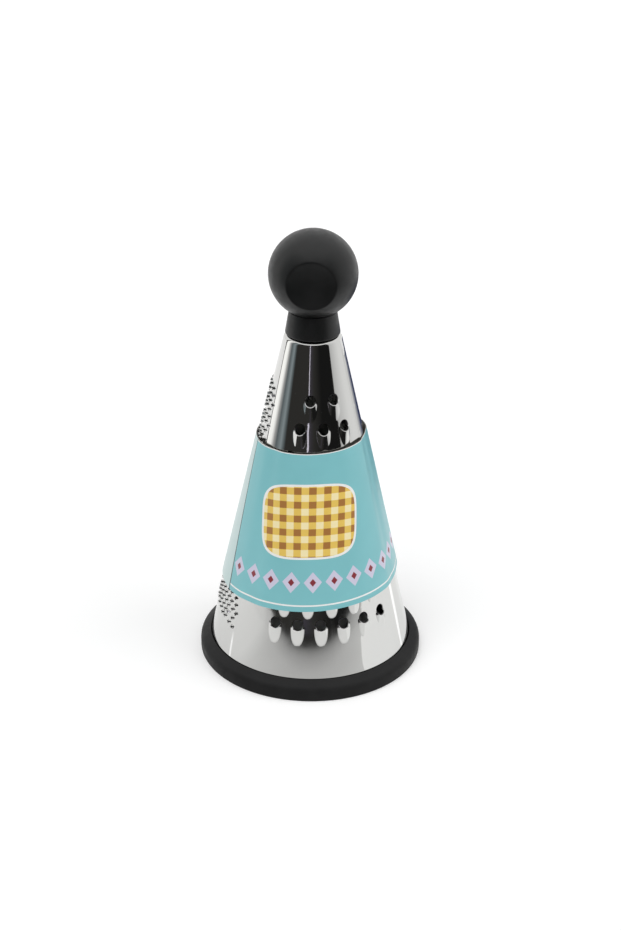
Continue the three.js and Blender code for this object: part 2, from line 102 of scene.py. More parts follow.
def feed(node, inputs):
    """Gives inputs of a node plain values, or joins them to sockets."""
    for name, value in inputs.items():
        if isinstance(value, NodeSocket):
            node.id_data.links.new(value, node.inputs[name])
        else:
            node.inputs[name].default_value = value


def add_node(tree, kind, inputs):
    node = tree.nodes.new("ShaderNode" + kind)
    feed(node, inputs)
    return node


def source(tree, kind, output=0):
    """An output of a new node that needs no inputs."""
    return tree.nodes.new("ShaderNode" + kind).outputs[output]


def coordinates(tree, kind):
    """X, Y and Z of one kind of texture coordinates."""
    return add_node(tree, "SeparateXYZ", {0: source(tree, "TexCoord", kind)}).outputs[:]


def calc(operation, *values):
    """A Math node on sockets and numbers. Its operation is a sign or the name that Blender has for it."""
    tree = next(value.id_data for value in values if isinstance(value, NodeSocket))
    node = add_node(tree, "Math", dict(enumerate(values)))
    node.operation = SIGNS.get(operation, operation)
    return node.outputs[0]


def rgba(colour):
    """A colour with its alpha, from a tuple or from a grey."""
    return (*colour, 1) if isinstance(colour, tuple) else (colour, colour, colour, 1)


def new_finish(name, roughness=0.5, metallic=0.0):
    """A material, its tree and its Principled shader."""
    material = bpy.data.materials.new(name)
    material.use_nodes = True
    shader = material.node_tree.nodes["Principled BSDF"]
    feed(shader, {"Roughness": roughness, "Metallic": metallic})
    return material, material.node_tree, shader


def mix_shaders(share, first, second):
    """Shows a share of a second shader over the first one."""
    mix = add_node(share.id_data, "MixShader", {0: share, 1: first, 2: second})
    feed(share.id_data.nodes["Material Output"], {0: mix.outputs[0]})


print("nodes can be summed with", *SIGNS)

# %% [markdown]
# ## The studio
# The floor and the world are white where the camera or a mirror looks at them, and light the grater softly
# everywhere else. From below the floor is clear, so that the inside of the cone can be looked at too.

# %% Floor and world
FLOOR_RADIUS = 8.0
FLOOR_WHITE = 0.82
FLOOR_GLOW = 0.29
AMBIENT = 0.5
GRATER_REACH = 50 * MM  # the floor under the grater doesn't glow


def seen_directly(tree):
    """One for rays from the camera, a mirror or glass, and zero for rays that gather light."""
    path = tree.nodes.new("ShaderNodeLightPath").outputs
    mirrored = calc("MAXIMUM", path["Is Glossy Ray"], path["Is Transmission Ray"])
    return calc("MAXIMUM", path["Is Camera Ray"], mirrored)


def polar(tree):
    """Azimuth and distance from the axis of an object's own Z."""
    x, y, _ = coordinates(tree, "Object")
    azimuth = calc("ARCTAN2", x, calc("*", y, -1.0))
    squares = calc("+", calc("*", x, x), calc("*", y, y))
    return azimuth, calc("SQRT", squares)


def mesh_object(name, bm, materials):
    """Turns a bmesh into an object of the scene."""
    mesh = bpy.data.meshes.new(name)
    bm.to_mesh(mesh)
    bm.free()
    for material in materials:
        mesh.materials.append(material)
    made = bpy.data.objects.new(name, mesh)
    scene.collection.objects.link(made)
    return made


def stage_object(name, bm, material):
    stage = mesh_object(name, bm, [material])
    return stage


def floor_material():
    material, tree, paint = new_finish("pale_floor", roughness=0.9)
    outside = calc(">", polar(tree)[1], GRATER_REACH)
    glow = calc("*", calc("*", seen_directly(tree), outside), FLOOR_GLOW)
    feed(paint, {"Base Color": rgba(FLOOR_WHITE), "Specular IOR Level": 0.0})
    feed(paint, {"Emission Color": rgba(1), "Emission Strength": glow})
    from_below = source(tree, "NewGeometry", "Backfacing")
    mix_shaders(from_below, paint.outputs[0], source(tree, "BsdfTransparent"))
    return material


bm = bmesh.new()
bmesh.ops.create_circle(bm, cap_ends=True, segments=64, radius=FLOOR_RADIUS)
stage_object("floor", bm, floor_material())

world = bpy.data.worlds.new("studio")
world.use_nodes = True
scene.world = world
sky = world.node_tree
extra = calc("*", seen_directly(sky), 1 - AMBIENT)
feed(sky.nodes["Background"], {"Color": rgba(1), "Strength": calc("+", extra, AMBIENT)})
print("floor and world are white, ambient light", AMBIENT)

# %% [markdown]
# Two wide lamps give the black rubber its shape: a key above and to the left of the camera, and a weaker
# fill to the right. They don't show in mirrors.

# %% Lamps
KEY_STRENGTH = 1.15
FILL_STRENGTH = 0.9
LAMP_SPREAD = radians(50)


def soft_lamp(name, azimuth, elevation, strength):
    """Even light from a wide patch of sky. Its azimuth is counted from the camera."""
    lamp = bpy.data.objects.new(name, bpy.data.lights.new(name, "SUN"))
    lamp.data.energy = strength
    lamp.data.angle = LAMP_SPREAD
    rise = radians(elevation)
    to_lamp = around(CAMERA_AZIMUTH + radians(azimuth), cos(rise), sin(rise))
    lamp.location = aim + to_lamp
    lamp.rotation_euler = (-to_lamp).to_track_quat("-Z", "Y").to_euler()
    lamp.visible_glossy = False
    scene.collection.objects.link(lamp)


soft_lamp("key_lamp", azimuth=-40, elevation=55, strength=KEY_STRENGTH)
soft_lamp("fill_lamp", azimuth=75, elevation=35, strength=FILL_STRENGTH)
print("lamps:", KEY_STRENGTH, "and", FILL_STRENGTH)

# %% [markdown]
# Polished steel has no colour of its own, so it needs something dark to mirror. A photographer hangs black
# cloth for that. Here a painted wall stands around the grater, a low board behind it, and a grey mat lies in
# front. The mat's tones go by metres from the axis, and the rest by degrees of azimuth from the camera. A
# single number is a grey.

# %% Tones
LAMP = (1.4, 1.4, 1.38)
WHITE = (0.95, 0.95, 0.95)
PALE_LILAC = (0.9, 0.86, 1.0)
MIST = (0.3, 0.35, 0.37)
SLATE = (0.13, 0.155, 0.165)
SOOT = (0.036, 0.035, 0.033)
COAL = (0.012, 0.012, 0.012)
PLUM = (0.06, 0.055, 0.07)
HAZE = (0.38, 0.39, 0.45)
TWILIGHT = (0.1, 0.115, 0.18)
DUSK = (0.04, 0.05, 0.11)
left_tones = [
    (-117, WHITE), (-115.5, WHITE), (-115, SOOT), (-108, SOOT), (-107.5, LAMP), (-97, LAMP), (-88, 0.5),
    (-80, SLATE), (-68, MIST), (-62, SLATE), (-57, SOOT),
]
front_tones = [
    (-57, SOOT), (-8, SOOT), (-7.5, PLUM), (4, SOOT), (24, COAL), (62.8, COAL), (63, 0.62), (80, 0.8),
    (100, WHITE), (127, WHITE),
]
gap_tones = [(-9.5, PALE_LILAC), (-7.5, PALE_LILAC)]
board_tones = [
    (114, WHITE), (125, 0.7), (132, HAZE), (140, TWILIGHT), (147, DUSK), (168, DUSK), (180, WHITE),
]
mat_tones = [
    (0.07, 0.6), (0.145, 0.58), (0.165, 0.55), (0.216, 0.44), (0.247, 0.31), (0.262, 0.21), (0.279, 0.085),
    (0.295, 0.05), (0.32, SOOT), (0.36, COAL),
]
mat_cover = [
    (-121, 0), (-86, 0.45), (-70, 0.55), (-65, 0.72), (-57, 0.95), (-51, 1), (34, 1), (40, 0.97),
    (44.7, 0.9), (44.9, 0),
]
print("tones:", len(left_tones + front_tones), "on the wall and", len(mat_tones), "on the mat")

# %% [markdown]
# These things glow with their tones, so they need no lamps. Near the grater the mat is clear and glossy and
# shows only at a glancing angle, and farther away it is covered with cloth.

# %% Materials that glow
MAT_INSIDE = 0.07
MAT_GLOSS = 2.0
CLOTH_START, CLOTH_FULL = 0.2, 0.27
MAT_SWIRL = 1.36  # radians to a metre, because the mat's edges don't point at the axis
MAT_BOW = 0.15  # metres to a squared radian, because the dark end of the mat is curved


def painted(value, stops):
    """Colours along a value, which run from each stop to the next."""
    first, last = stops[0][0], stops[-1][0]
    share = calc("/", calc("-", value, first), last - first)
    ramp = add_node(value.id_data, "ValToRGB", {0: share})
    elements = ramp.color_ramp.elements
    elements[0].color = rgba(stops[0][1])
    elements[1].color = rgba(stops[-1][1])
    for place, colour in stops[1:-1]:
        elements.new((place - first) / (last - first)).color = rgba(colour)
    return ramp.outputs[0]


def glow_material(name):
    material, tree, shader = new_finish(name)
    tree.nodes.remove(shader)
    glow = tree.nodes.new("ShaderNodeEmission")
    feed(tree.nodes["Material Output"], {0: glow.outputs[0]})
    return material, tree, glow


def in_radians(stops):
    return [(radians(azimuth), colour) for azimuth, colour in stops]


def wall_material(name, tones):
    material, tree, glow = glow_material(name)
    feed(glow, {"Color": painted(polar(tree)[0], in_radians(tones))})
    return material


def mat_material():
    material, tree, glow = glow_material("grey_mat")
    azimuth, distance = polar(tree)
    bow = calc("*", calc("*", azimuth, azimuth), MAT_BOW)
    feed(glow, {"Color": painted(calc("-", distance, bow), mat_tones)})
    swirl = calc("*", calc("-", distance, MAT_INSIDE), MAT_SWIRL)
    aslant = calc("-", azimuth, swirl)
    gloss = calc("*", source(tree, "Fresnel"), MAT_GLOSS)
    cloth = calc("/", calc("-", distance, CLOTH_START), CLOTH_FULL - CLOTH_START)
    shown = calc("MINIMUM", calc("MAXIMUM", gloss, cloth), 1.0)
    cover = calc("*", painted(aslant, in_radians(mat_cover)), shown)
    mix_shaders(cover, source(tree, "BsdfTransparent"), glow.outputs[0])
    return material


print("the mat's cloth starts", round(CLOTH_START / MM), "mm from the axis")

# %% [markdown]
# Each of them is a strip that is swept around the axis, and only mirror rays see it. A narrow pale strip
# close before the wall stands for a gap in it.

# %% Wall, board and mat
WALL_DISTANCE = 0.36
WALL_HEIGHT = 0.6
LEFT_WALL_FOOT = 0.04
GAP_DISTANCE = WALL_DISTANCE - 1 * MM
GAP_FOOT = 0.09
BOARD_DISTANCE = 0.25
BOARD_HEIGHT = 0.115
MAT_HEIGHT = 0.2 * MM
MAT_SWEEP = (-112, 76)
STAGE_FACETS = 96


def mirrored_only(name, ends, sweep, material):
    """Sweeps a strip between two azimuths from the camera, in degrees."""
    start, stop = (radians(azimuth) for azimuth in sweep)
    bm = bmesh.new()
    edge = [bm.verts.new(around(start, distance, height)) for distance, height in ends]
    strip = [*edge, bm.edges.new(edge)]
    bmesh.ops.spin(bm, geom=strip, axis=(0, 0, 1), angle=stop - start, steps=STAGE_FACETS)
    swept = stage_object(name, bm, material)
    swept.rotation_euler = (0, 0, CAMERA_AZIMUTH)
    for rays in ("camera", "diffuse", "transmission", "shadow"):
        setattr(swept, "visible_" + rays, False)


for name, distance, foot, top, tones in (
    ("left_wall", WALL_DISTANCE, LEFT_WALL_FOOT, WALL_HEIGHT, left_tones),
    ("front_wall", WALL_DISTANCE, 0, WALL_HEIGHT, front_tones),
    ("wall_gap", GAP_DISTANCE, GAP_FOOT, WALL_HEIGHT, gap_tones),
    ("low_board", BOARD_DISTANCE, 0, BOARD_HEIGHT, board_tones),
):
    sweep = (tones[0][0], tones[-1][0])
    mirrored_only(name, [(distance, foot), (distance, top)], sweep, wall_material(name, tones))
mat_ends = [(MAT_INSIDE, MAT_HEIGHT), (WALL_DISTANCE, MAT_HEIGHT)]
mirrored_only("grey_mat", mat_ends, MAT_SWEEP, mat_material())
print("a painted wall stands", round(WALL_DISTANCE / MM), "mm from the axis")

# %% [markdown]
# ## Making a piece
# A piece is a bmesh that becomes an object. It moves with the body of the solid that it stands for, and
# hides that solid. Round pieces are turned: half an outline is spun about Z.

# %% Helpers for pieces
CREASE = radians(38)
TURN_STEPS = 128
SAME_SPOT = 0.001 * MM
TOUCHING = 0.01 * MM
record = frame["record"]
body_of_node = {node: body for body, nodes in record["behaviour"]["bodies"].items() for node in nodes}


def add_piece(name, bm, finishes, node):
    piece = mesh_object(name, bm, finishes)
    mesh = piece.data
    mesh.shade_smooth()
    mesh.set_sharp_from_angle(angle=CREASE)
    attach(piece, body_of_node[node])
    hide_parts(node)
    mesh.calc_loop_triangles()
    print(f"{name}: {len(mesh.loop_triangles)} triangles, for {node}")


def arc(centre, radius, start, stop, steps):
    """Points of an arc between two angles in degrees."""
    angles = [radians(start + (stop - start) * i / steps) for i in range(steps + 1)]
    return [(centre[0] + radius * cos(a), centre[1] + radius * sin(a)) for a in angles]


def turned(outline, steps=TURN_STEPS, closed=True, angle=tau):
    """Spins an outline about Z. It closes on itself, unless an end of it lies on the axis."""
    bm = bmesh.new()
    points = [bm.verts.new((radius, 0, height)) for radius, height in outline]
    edges = [bm.edges.new(pair) for pair in zip(points, points[1:])]
    if closed:
        edges.append(bm.edges.new((points[-1], points[0])))
    whole = angle == tau
    bmesh.ops.spin(bm, geom=points + edges, axis=(0, 0, 1), angle=angle, steps=steps, use_merge=whole)
    bmesh.ops.remove_doubles(bm, verts=bm.verts, dist=SAME_SPOT)
    bmesh.ops.recalc_face_normals(bm, faces=bm.faces)
    return bm


def round_off(bm, *rounds):
    """Bevels round edges of a turned form. A round is a corner of its outline, a size in mm and segments."""
    for (radius, height), size, segments in rounds:
        circle = {v for v in bm.verts if hypot(hypot(v.co.x, v.co.y) - radius, v.co.z - height) < TOUCHING}
        edges = [edge for edge in bm.edges if circle.issuperset(edge.verts)]
        bmesh.ops.bevel(
            bm, geom=edges, offset=size * MM, offset_type="OFFSET", affect="EDGES",
            segments=segments, profile=0.5, material=-1,
        )


def grow(bm, rim):
    """Extrudes open edges. Returns the new edges and their verts."""
    made = bmesh.ops.extrude_edge_only(bm, edges=rim)["geom"]
    return [[item for item in made if isinstance(item, kind)] for kind in (BMEdge, BMVert)]


def thicken(bm, depth):
    """Gives a flat sheet its other side, and returns that side's parts."""
    made = bmesh.ops.extrude_face_region(bm, geom=bm.faces[:], use_keep_orig=True)["geom"]
    verts = [item for item in made if isinstance(item, BMVert)]
    bmesh.ops.translate(bm, vec=(0, 0, depth), verts=verts)
    return made


print("helpers ready, round pieces have", TURN_STEPS, "steps")

# %% [markdown]
# ## The finishes
# Each finish is a Principled shader with fine noise on it. Black rubber is never one flat black: its
# roughness and its tiny bumps change from place to place. The scale of a noise is in cycles to a metre.

# %% Black finishes
NOISE_LOW, NOISE_HIGH = 0.3, 0.7  # most of a noise lies between these
CLOUDS = 90
GLOSS_CLOUDS = 320


def grain(tree, scale, detail=2.0, kind="Object", stretch=(1, 1, 1)):
    """Noise on the piece's own coordinates."""
    place = add_node(tree, "Mapping", {"Vector": source(tree, "TexCoord", kind), "Scale": stretch})
    inputs = {"Vector": place.outputs[0], "Scale": scale, "Detail": detail}
    return add_node(tree, "TexNoise", inputs).outputs["Fac"]


def ranged(value, low, high):
    """Stretches the middle of a noise to a range."""
    limits = {"From Min": NOISE_LOW, "From Max": NOISE_HIGH, "To Min": low, "To Max": high}
    return add_node(value.id_data, "MapRange", {"Value": value, **limits}).outputs[0]


def blend(share, first, second):
    """Mixes two colours, which may be sockets."""
    node = share.id_data.nodes.new("ShaderNodeMix")
    node.data_type = "RGBA"
    first, second = (rgba(c) if isinstance(c, tuple) else c for c in (first, second))
    feed(node, {0: share, 6: first, 7: second})
    return node.outputs[2]


def add_bump(shader, height, distance):
    bump = add_node(height.id_data, "Bump", {"Distance": distance, "Height": height})
    feed(shader, {"Normal": bump.outputs[0]})


def black_finish(name, dark, light, roughness, spread, grit, bump, shine=0.5):
    """A black moulding: clouds between two near blacks, uneven gloss and a fine grit."""
    material, tree, shader = new_finish(name)
    colour = blend(ranged(grain(tree, CLOUDS), 0, 1), dark, light)
    gloss = ranged(grain(tree, GLOSS_CLOUDS, 4), roughness - spread, roughness + spread)
    feed(shader, {"Base Color": colour, "Roughness": gloss, "Specular IOR Level": shine})
    add_bump(shader, grain(tree, grit, 3), bump)
    return material


soft_black = black_finish(
    "soft_black", dark=(0.0045, 0.005, 0.005), light=(0.008, 0.0085, 0.0085),
    roughness=0.4, spread=0.07, grit=2600, bump=0.012 * MM, shine=0.36,
)
black_rubber = black_finish(
    "black_rubber", dark=(0.011, 0.011, 0.0112), light=(0.015, 0.015, 0.0152),
    roughness=0.5, spread=0.06, grit=1500, bump=0.03 * MM, shine=0.1,
)
black_plastic = black_finish(
    "black_plastic", dark=(0.01, 0.011, 0.011), light=(0.016, 0.017, 0.017),
    roughness=0.4, spread=0.06, grit=2000, bump=0.01 * MM,
)
print("black finishes:", soft_black.name, black_rubber.name, black_plastic.name)

# %% [markdown]
# Painted light from above: the faces that look up are lightened towards a dusty grey, so that black things
# look lit from above. The piece's own normal says which faces those are.

# %% Painted top light
DUSTY_TOP_LIGHT = (0.034, 0.034, 0.0342)
RUBBER_TOP_LIGHT = 0.5
SKIN_TOP_LIGHT = 0.34


def top_light_dust(material, cover):
    """Paints light on the faces that look up, towards a dusty grey."""
    tree = material.node_tree
    base = tree.nodes["Principled BSDF"].inputs["Base Color"]
    upward = calc("MAXIMUM", coordinates(tree, "Normal")[2], 0.0)
    share = calc("*", upward, cover)
    tree.links.new(blend(share, base.links[0].from_socket, DUSTY_TOP_LIGHT), base)


# painted light from above on the ring's top and the ball's upper half
top_light_dust(black_rubber, RUBBER_TOP_LIGHT)
top_light_dust(soft_black, SKIN_TOP_LIGHT)
print("dust covers up to", RUBBER_TOP_LIGHT, "of the rubber and", SKIN_TOP_LIGHT, "of the ball's skin")

# %% [markdown]
# The steel is mirror polished along its length, so its noise is drawn out up the slope. It reads the flat
# sheet's own map, so the streaks stay straight when it is rolled. Where the sheet is sheared, at the edge of
# each hole, it is rough.

# %% Metals
STEEL = (0.65, 0.65, 0.635)
STREAKS = 420
STREAK_STRETCH = (1, 0.02, 1)
STREAK_DEPTH = 0.002 * MM
POLISH = (0.03, 0.08)
TARNISH = 500
TARNISHED = 0.8  # of the colour of clean metal
SCRATCHES = 1200
SCRATCH_STRETCH = (1, 1, 6)
SCRATCH_DEPTH = 0.004 * MM
SMOOTHER, ROUGHER = 0.08, 0.1


def steel_finish():
    material, tree, shader = new_finish("polished_steel", metallic=1.0)
    streaks = grain(tree, STREAKS, 4, kind="UV", stretch=STREAK_STRETCH)
    feed(shader, {"Base Color": rgba(STEEL), "Roughness": ranged(streaks, *POLISH)})
    add_bump(shader, streaks, STREAK_DEPTH)
    return material


def plated_finish(name, colour, roughness):
    material, tree, shader = new_finish(name, metallic=1.0)
    dull = tuple(TARNISHED * channel for channel in colour)
    clouds = ranged(grain(tree, TARNISH, 4), 0, 1)
    scratches = grain(tree, SCRATCHES, 4, stretch=SCRATCH_STRETCH)
    gloss = ranged(scratches, roughness - SMOOTHER, roughness + ROUGHER)
    feed(shader, {"Base Color": blend(clouds, dull, colour), "Roughness": gloss})
    add_bump(shader, scratches, SCRATCH_DEPTH)
    return material


polished_steel = steel_finish()
sheared_steel = plated_finish("sheared_steel", (0.62, 0.62, 0.61), 0.45)
zinc_plate = plated_finish("zinc_plate", (0.62, 0.63, 0.64), 0.32)
turned_brass = plated_finish("turned_brass", (0.72, 0.55, 0.27), 0.3)
print("metal finishes:", polished_steel.name, sheared_steel.name, zinc_plate.name, turned_brass.name)

# %% [markdown]
# ## The rubber ring
# The ring grips the steel's lower edge in a groove. Its outline is drawn with sharp corners and turned, and
# then each round edge is beveled by the amount that the real moulding has.

# %% Cone slope and ring
SEAT_GAP = 0.3 * MM
SHEET = 0.5 * MM
TOP_RADIUS = 14 * MM
cone_low, cone_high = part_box("grater_cone")
FOOT_RADIUS = cone_high.x
lean = atan2(FOOT_RADIUS - TOP_RADIUS, cone_high.z - cone_low.z)


def cone_radius(height, depth=0.0):
    """Radius of the cone's outside at a height, or of a surface at a depth below it."""
    return FOOT_RADIUS - (height - cone_low.z) * tan(lean) - depth / cos(lean)


RING_STEPS = 180
RIM_FALL = 3.2 * MM
WEB = 2.7 * MM
LIP_HEIGHT = 7 * MM
LIP_WIDTH = 3 * MM
ring_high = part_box("base_ring")[1]
groove_out = (cone_radius(ring_high.z, -SEAT_GAP), ring_high.z)
groove_in = (cone_radius(LIP_HEIGHT, SHEET + SEAT_GAP), LIP_HEIGHT)
lip = (groove_in[0] - LIP_WIDTH, LIP_HEIGHT)
foot_edge = (ring_high.x, 0)
rim_edge = (ring_high.x, ring_high.z - RIM_FALL)
ring_outline = [
    (lip[0], 0), foot_edge, rim_edge, groove_out, (cone_radius(WEB, -SEAT_GAP), WEB),
    (cone_radius(WEB, SHEET + SEAT_GAP), WEB), groove_in, lip,
]
bm = turned(ring_outline, RING_STEPS)
round_off(bm, (foot_edge, 0.8, 4), (rim_edge, 1.9, 6), (groove_out, 0.5, 4), (lip, 0.6, 4))
add_piece("foot_ring", bm, [black_rubber], "base_ring")

# %% [markdown]
# ## The knob
# The ball has a shallow dish in front and one behind, on one axis, so it is one outline spun about that
# axis. A flat cut opens it where the stem goes in, and its skin gets a thickness.

# %% Ball
BALL_RADIUS = 21.8 * MM
BALL_STEPS, BOWL_STEPS, SIDE_STEPS = 144, 10, 44
DISH_RADIUS = 12 * MM
DISH_DEPTH = 1.2 * MM
DISH_AZIMUTH = radians(-17)
SKIN = 1.7 * MM
STEM_OPENING = 7.4 * MM
ball_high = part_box("knob_grip")[1]
ball_centre = Vector((0, 0, ball_high.z - BALL_RADIUS))
dish_rim = sqrt(BALL_RADIUS**2 - DISH_RADIUS**2)


def ball_outline():
    """Half the ball from dish to dish, as distances from the dish axis and along it."""
    rim_angle = degrees(asin(DISH_RADIUS / BALL_RADIUS))
    curve = (DISH_RADIUS**2 + DISH_DEPTH**2) / (2 * DISH_DEPTH)
    spread = degrees(asin(DISH_RADIUS / curve))
    middle, *bowl = arc((0, dish_rim - DISH_DEPTH + curve), curve, -90, spread - 90, BOWL_STEPS)
    bowl = [(0, middle[1]), *bowl]
    side = arc((0, 0), BALL_RADIUS, 90 - rim_angle, rim_angle - 90, SIDE_STEPS)
    return bowl + side[1:] + [(radius, -along) for radius, along in reversed(bowl[:-1])]


bm = turned(ball_outline(), BALL_STEPS, closed=False)
round_off(bm, ((DISH_RADIUS, dish_rim), 0.35, 3), ((DISH_RADIUS, -dish_rim), 0.35, 3))
to_dish = Vector((0, 0, 1)).rotation_difference(around(DISH_AZIMUTH, 1, 0))
bmesh.ops.rotate(bm, cent=(0, 0, 0), matrix=to_dish.to_matrix(), verts=bm.verts)
stem_cut = Vector((0, 0, -sqrt(BALL_RADIUS**2 - STEM_OPENING**2)))
everything = bm.verts[:] + bm.edges[:] + bm.faces[:]
bmesh.ops.bisect_plane(bm, geom=everything, plane_co=stem_cut, plane_no=(0, 0, 1), clear_inner=True)
bmesh.ops.solidify(bm, geom=bm.faces[:], thickness=SKIN)
bmesh.ops.translate(bm, vec=ball_centre, verts=bm.verts)
add_piece("ball_grip", bm, [soft_black], "knob_grip")
print("ball centre at", round(ball_centre.z / MM, 2), "mm")

# %% [markdown]
# The collar plugs into the cone's mouth, and its top is a cup that the ball sits in. The socket in the
# middle of the cup takes the stem of the ball's hard core.

# %% Collar
CUP_GAP = 0.1 * MM
CUP_STEPS = 8
COLLAR_TAPER = 1.9 * MM
SPIGOT_LENGTH = 3.2 * MM
SPIGOT_RADIUS = 9.78 * MM
SOCKET_RADIUS = 6.8 * MM
SOCKET_DEPTH = 5.3 * MM
SCREW_HOLE = 2.8 * MM
cup_radius = BALL_RADIUS + CUP_GAP
collar_low, collar_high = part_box("neck_collar")
shoulder = (collar_high.x, collar_low.z + SPIGOT_LENGTH)
brim = (collar_high.x - COLLAR_TAPER, collar_high.z)
cup_start, cup_stop = (-degrees(acos(radius / cup_radius)) for radius in (brim[0], SOCKET_RADIUS))
cup = arc((0, ball_centre.z), cup_radius, cup_start, cup_stop, CUP_STEPS)
socket_floor = collar_high.z - SOCKET_DEPTH
bm = turned([
    (SCREW_HOLE, collar_low.z), (SPIGOT_RADIUS, collar_low.z), (SPIGOT_RADIUS, shoulder[1]), shoulder,
    brim, *cup[1:], (SOCKET_RADIUS, socket_floor), (SCREW_HOLE, socket_floor),
])
round_off(bm, (shoulder, 1, 5), (brim, 0.25, 2))
add_piece("neck_collar_skin", bm, [soft_black], "neck_collar")

# %% [markdown]
# ## The fastening inside the cone
# A screw pulls the knob down and a clamp plate up, with the cone's shoulder between them. These pieces show
# only from below. The lock washer is split, so it is turned less than once around.

# %% Clamp plate and washers
CLAMP_WEB = 2 * MM
MOUTH_RADIUS = 10.08 * MM
SHOULDER_ROUND = 2.4 * MM
BEND_RADIUS = 12.08 * MM
bend_height = cone_high.z - SHOULDER_ROUND
clamp_low, clamp_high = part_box("clamp_plate")
clamp_side = cone_radius(bend_height, SHEET + SEAT_GAP)
clamp_foot = (clamp_side, clamp_low.z)
web_top = clamp_low.z + CLAMP_WEB
bm = turned([
    (SCREW_HOLE, clamp_low.z), clamp_foot, (clamp_side, bend_height), (BEND_RADIUS, clamp_high.z),
    (MOUTH_RADIUS, clamp_high.z), (MOUTH_RADIUS, web_top), (SCREW_HOLE, web_top),
])
round_off(bm, (clamp_foot, 1.6, 5))
add_piece("clamp_disc", bm, [black_plastic], "clamp_plate")
WASHER_STEPS = 64
LOCK_SPLIT = radians(13)


def ring_around_screw(node, rounding, split=0.0):
    """A flat ring in the box of a solid, split by an angle on its side towards +Y."""
    low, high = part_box(node)
    outline = [(SCREW_HOLE, low.z), (high.x, low.z), (high.x, high.z), (SCREW_HOLE, high.z)]
    bm = turned(outline, WASHER_STEPS, angle=tau - split)
    if split:
        bmesh.ops.holes_fill(bm, edges=bm.edges)
        to_split = Quaternion((0, 0, 1), pi / 2 + split / 2).to_matrix()
        bmesh.ops.rotate(bm, cent=(0, 0, 0), matrix=to_split, verts=bm.verts)
        bmesh.ops.recalc_face_normals(bm, faces=bm.faces)
    round_off(bm, *((corner, rounding, 3) for corner in outline[1:3]))
    return bm


add_piece("washer_disc", ring_around_screw("flat_washer", 0.2), [zinc_plate], "flat_washer")
lock = ring_around_screw("lock_washer", 0.15, LOCK_SPLIT)
add_piece("split_washer", lock, [zinc_plate], "lock_washer")

# %% [markdown]
# The screw's outline has a zigzag for its thread. The cross in its head is drawn inward from a round hole,
# and then pushed up.

# %% Screw
SCREW_RADIUS = 2.5 * MM
HEAD_HEIGHT = 3.2 * MM
THREAD_PITCH = 0.8 * MM
THREAD_DEPTH = 0.4 * MM
RECESS_HALF_WIDTH = 0.6 * MM
RECESS_REACH = 2.5 * MM
RECESS_RIM = 1.2 * RECESS_REACH
RECESS_DEPTH = 1.6 * MM
RECESS_STEPS = 80  # so that the corners of the cross fall on steps
ZIGZAG = ((THREAD_DEPTH, 0.15), (0, 0.5), (0, 0.65), (THREAD_DEPTH, 1.0))  # depth, and share of the pitch
screw_low, screw_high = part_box("knob_screw")
head_top = screw_low.z + HEAD_HEIGHT
head_edge = (screw_high.x, screw_low.z)
thread_turns = int((screw_high.z - head_top - SCREW_RADIUS / 2) / THREAD_PITCH)
thread = [
    (SCREW_RADIUS - depth, head_top + THREAD_PITCH * (turn + share))
    for turn in range(thread_turns) for depth, share in ZIGZAG
]
bm = turned([
    (RECESS_RIM, screw_low.z), head_edge, (screw_high.x, head_top), (SCREW_RADIUS, head_top),
    *thread, (SCREW_RADIUS / 2, screw_high.z), (0, screw_high.z),
], RECESS_STEPS, closed=False)
round_off(bm, (head_edge, 1.4, 5))


def cross_reach(angle):
    """How far the cross reaches from its middle in a direction."""
    across, along = max(abs(cos(angle)), 1e-9), max(abs(sin(angle)), 1e-9)
    arms = ((across, along), (along, across))
    return max(min(RECESS_REACH / ahead, RECESS_HALF_WIDTH / aside) for ahead, aside in arms)


rim = [edge for edge in bm.edges if edge.is_boundary]
for height in (screw_low.z, screw_low.z + RECESS_DEPTH):
    rim, verts = grow(bm, rim)
    for vert in verts:
        angle = atan2(vert.co.y, vert.co.x)
        reach = cross_reach(angle)
        vert.co = (reach * cos(angle), reach * sin(angle), height)
bmesh.ops.edgeloop_fill(bm, edges=rim)
bmesh.ops.recalc_face_normals(bm, faces=bm.faces)
add_piece("cross_screw", bm, [zinc_plate], "knob_screw")

# %% [markdown]
# The hard core and its brass insert are sealed inside the ball. Their solids stay as they are, with better
# materials, because only a cut through the knob shows them.

# %% Core and insert
for node, finish in (("knob_core", black_plastic), ("knob_insert", turned_brass)):
    for slot in bpy.data.objects[node].material_slots:
        slot.material = finish
    print(node, "is made of", finish.name)

# %% [markdown]
# ## The steel sheet
# A grater like this starts as a flat blank. The teeth are punched while it is flat, and then it is rolled up
# and lapped. The same order works here. The sheet is a grid of azimuth and distance up the slope, with the
# lift off the sheet as its third coordinate. Its columns are closer where there are teeth.

# %% Flat blank
FLANGE = 2 * MM
TOOTH_PITCH = 13.9 * MM
PITCH_CELLS = 13
ROW_STEP = TOOTH_PITCH / PITCH_CELLS
SEAM_FOOT = 11.3 * MM  # the lap starts to show here
FIRST_LEVEL = 24.33 * MM
LEVELS = 126
PLAIN_STEP, TOP_STEP = 2.8 * MM, 3 * MM
BEND_CELLS, FLANGE_CELLS = 6, 2
SEAM = 54  # degrees, where the rolled sheet laps over itself
straight = (bend_height + SHOULDER_ROUND * sin(lean) - cone_low.z) / cos(lean)
bend = SHOULDER_ROUND * (pi / 2 - lean)
bend_end = straight + bend


def slope_distance(height):
    return (height - cone_low.z) / cos(lean)


def slope_radius(along):
    return FOOT_RADIUS - along * sin(lean)


def stretch(start, stop, step):
    """Evenly spaced values from one towards another, which is left out."""
    count = round((stop - start) / step)
    return [start + (stop - start) * i / count for i in range(count)]


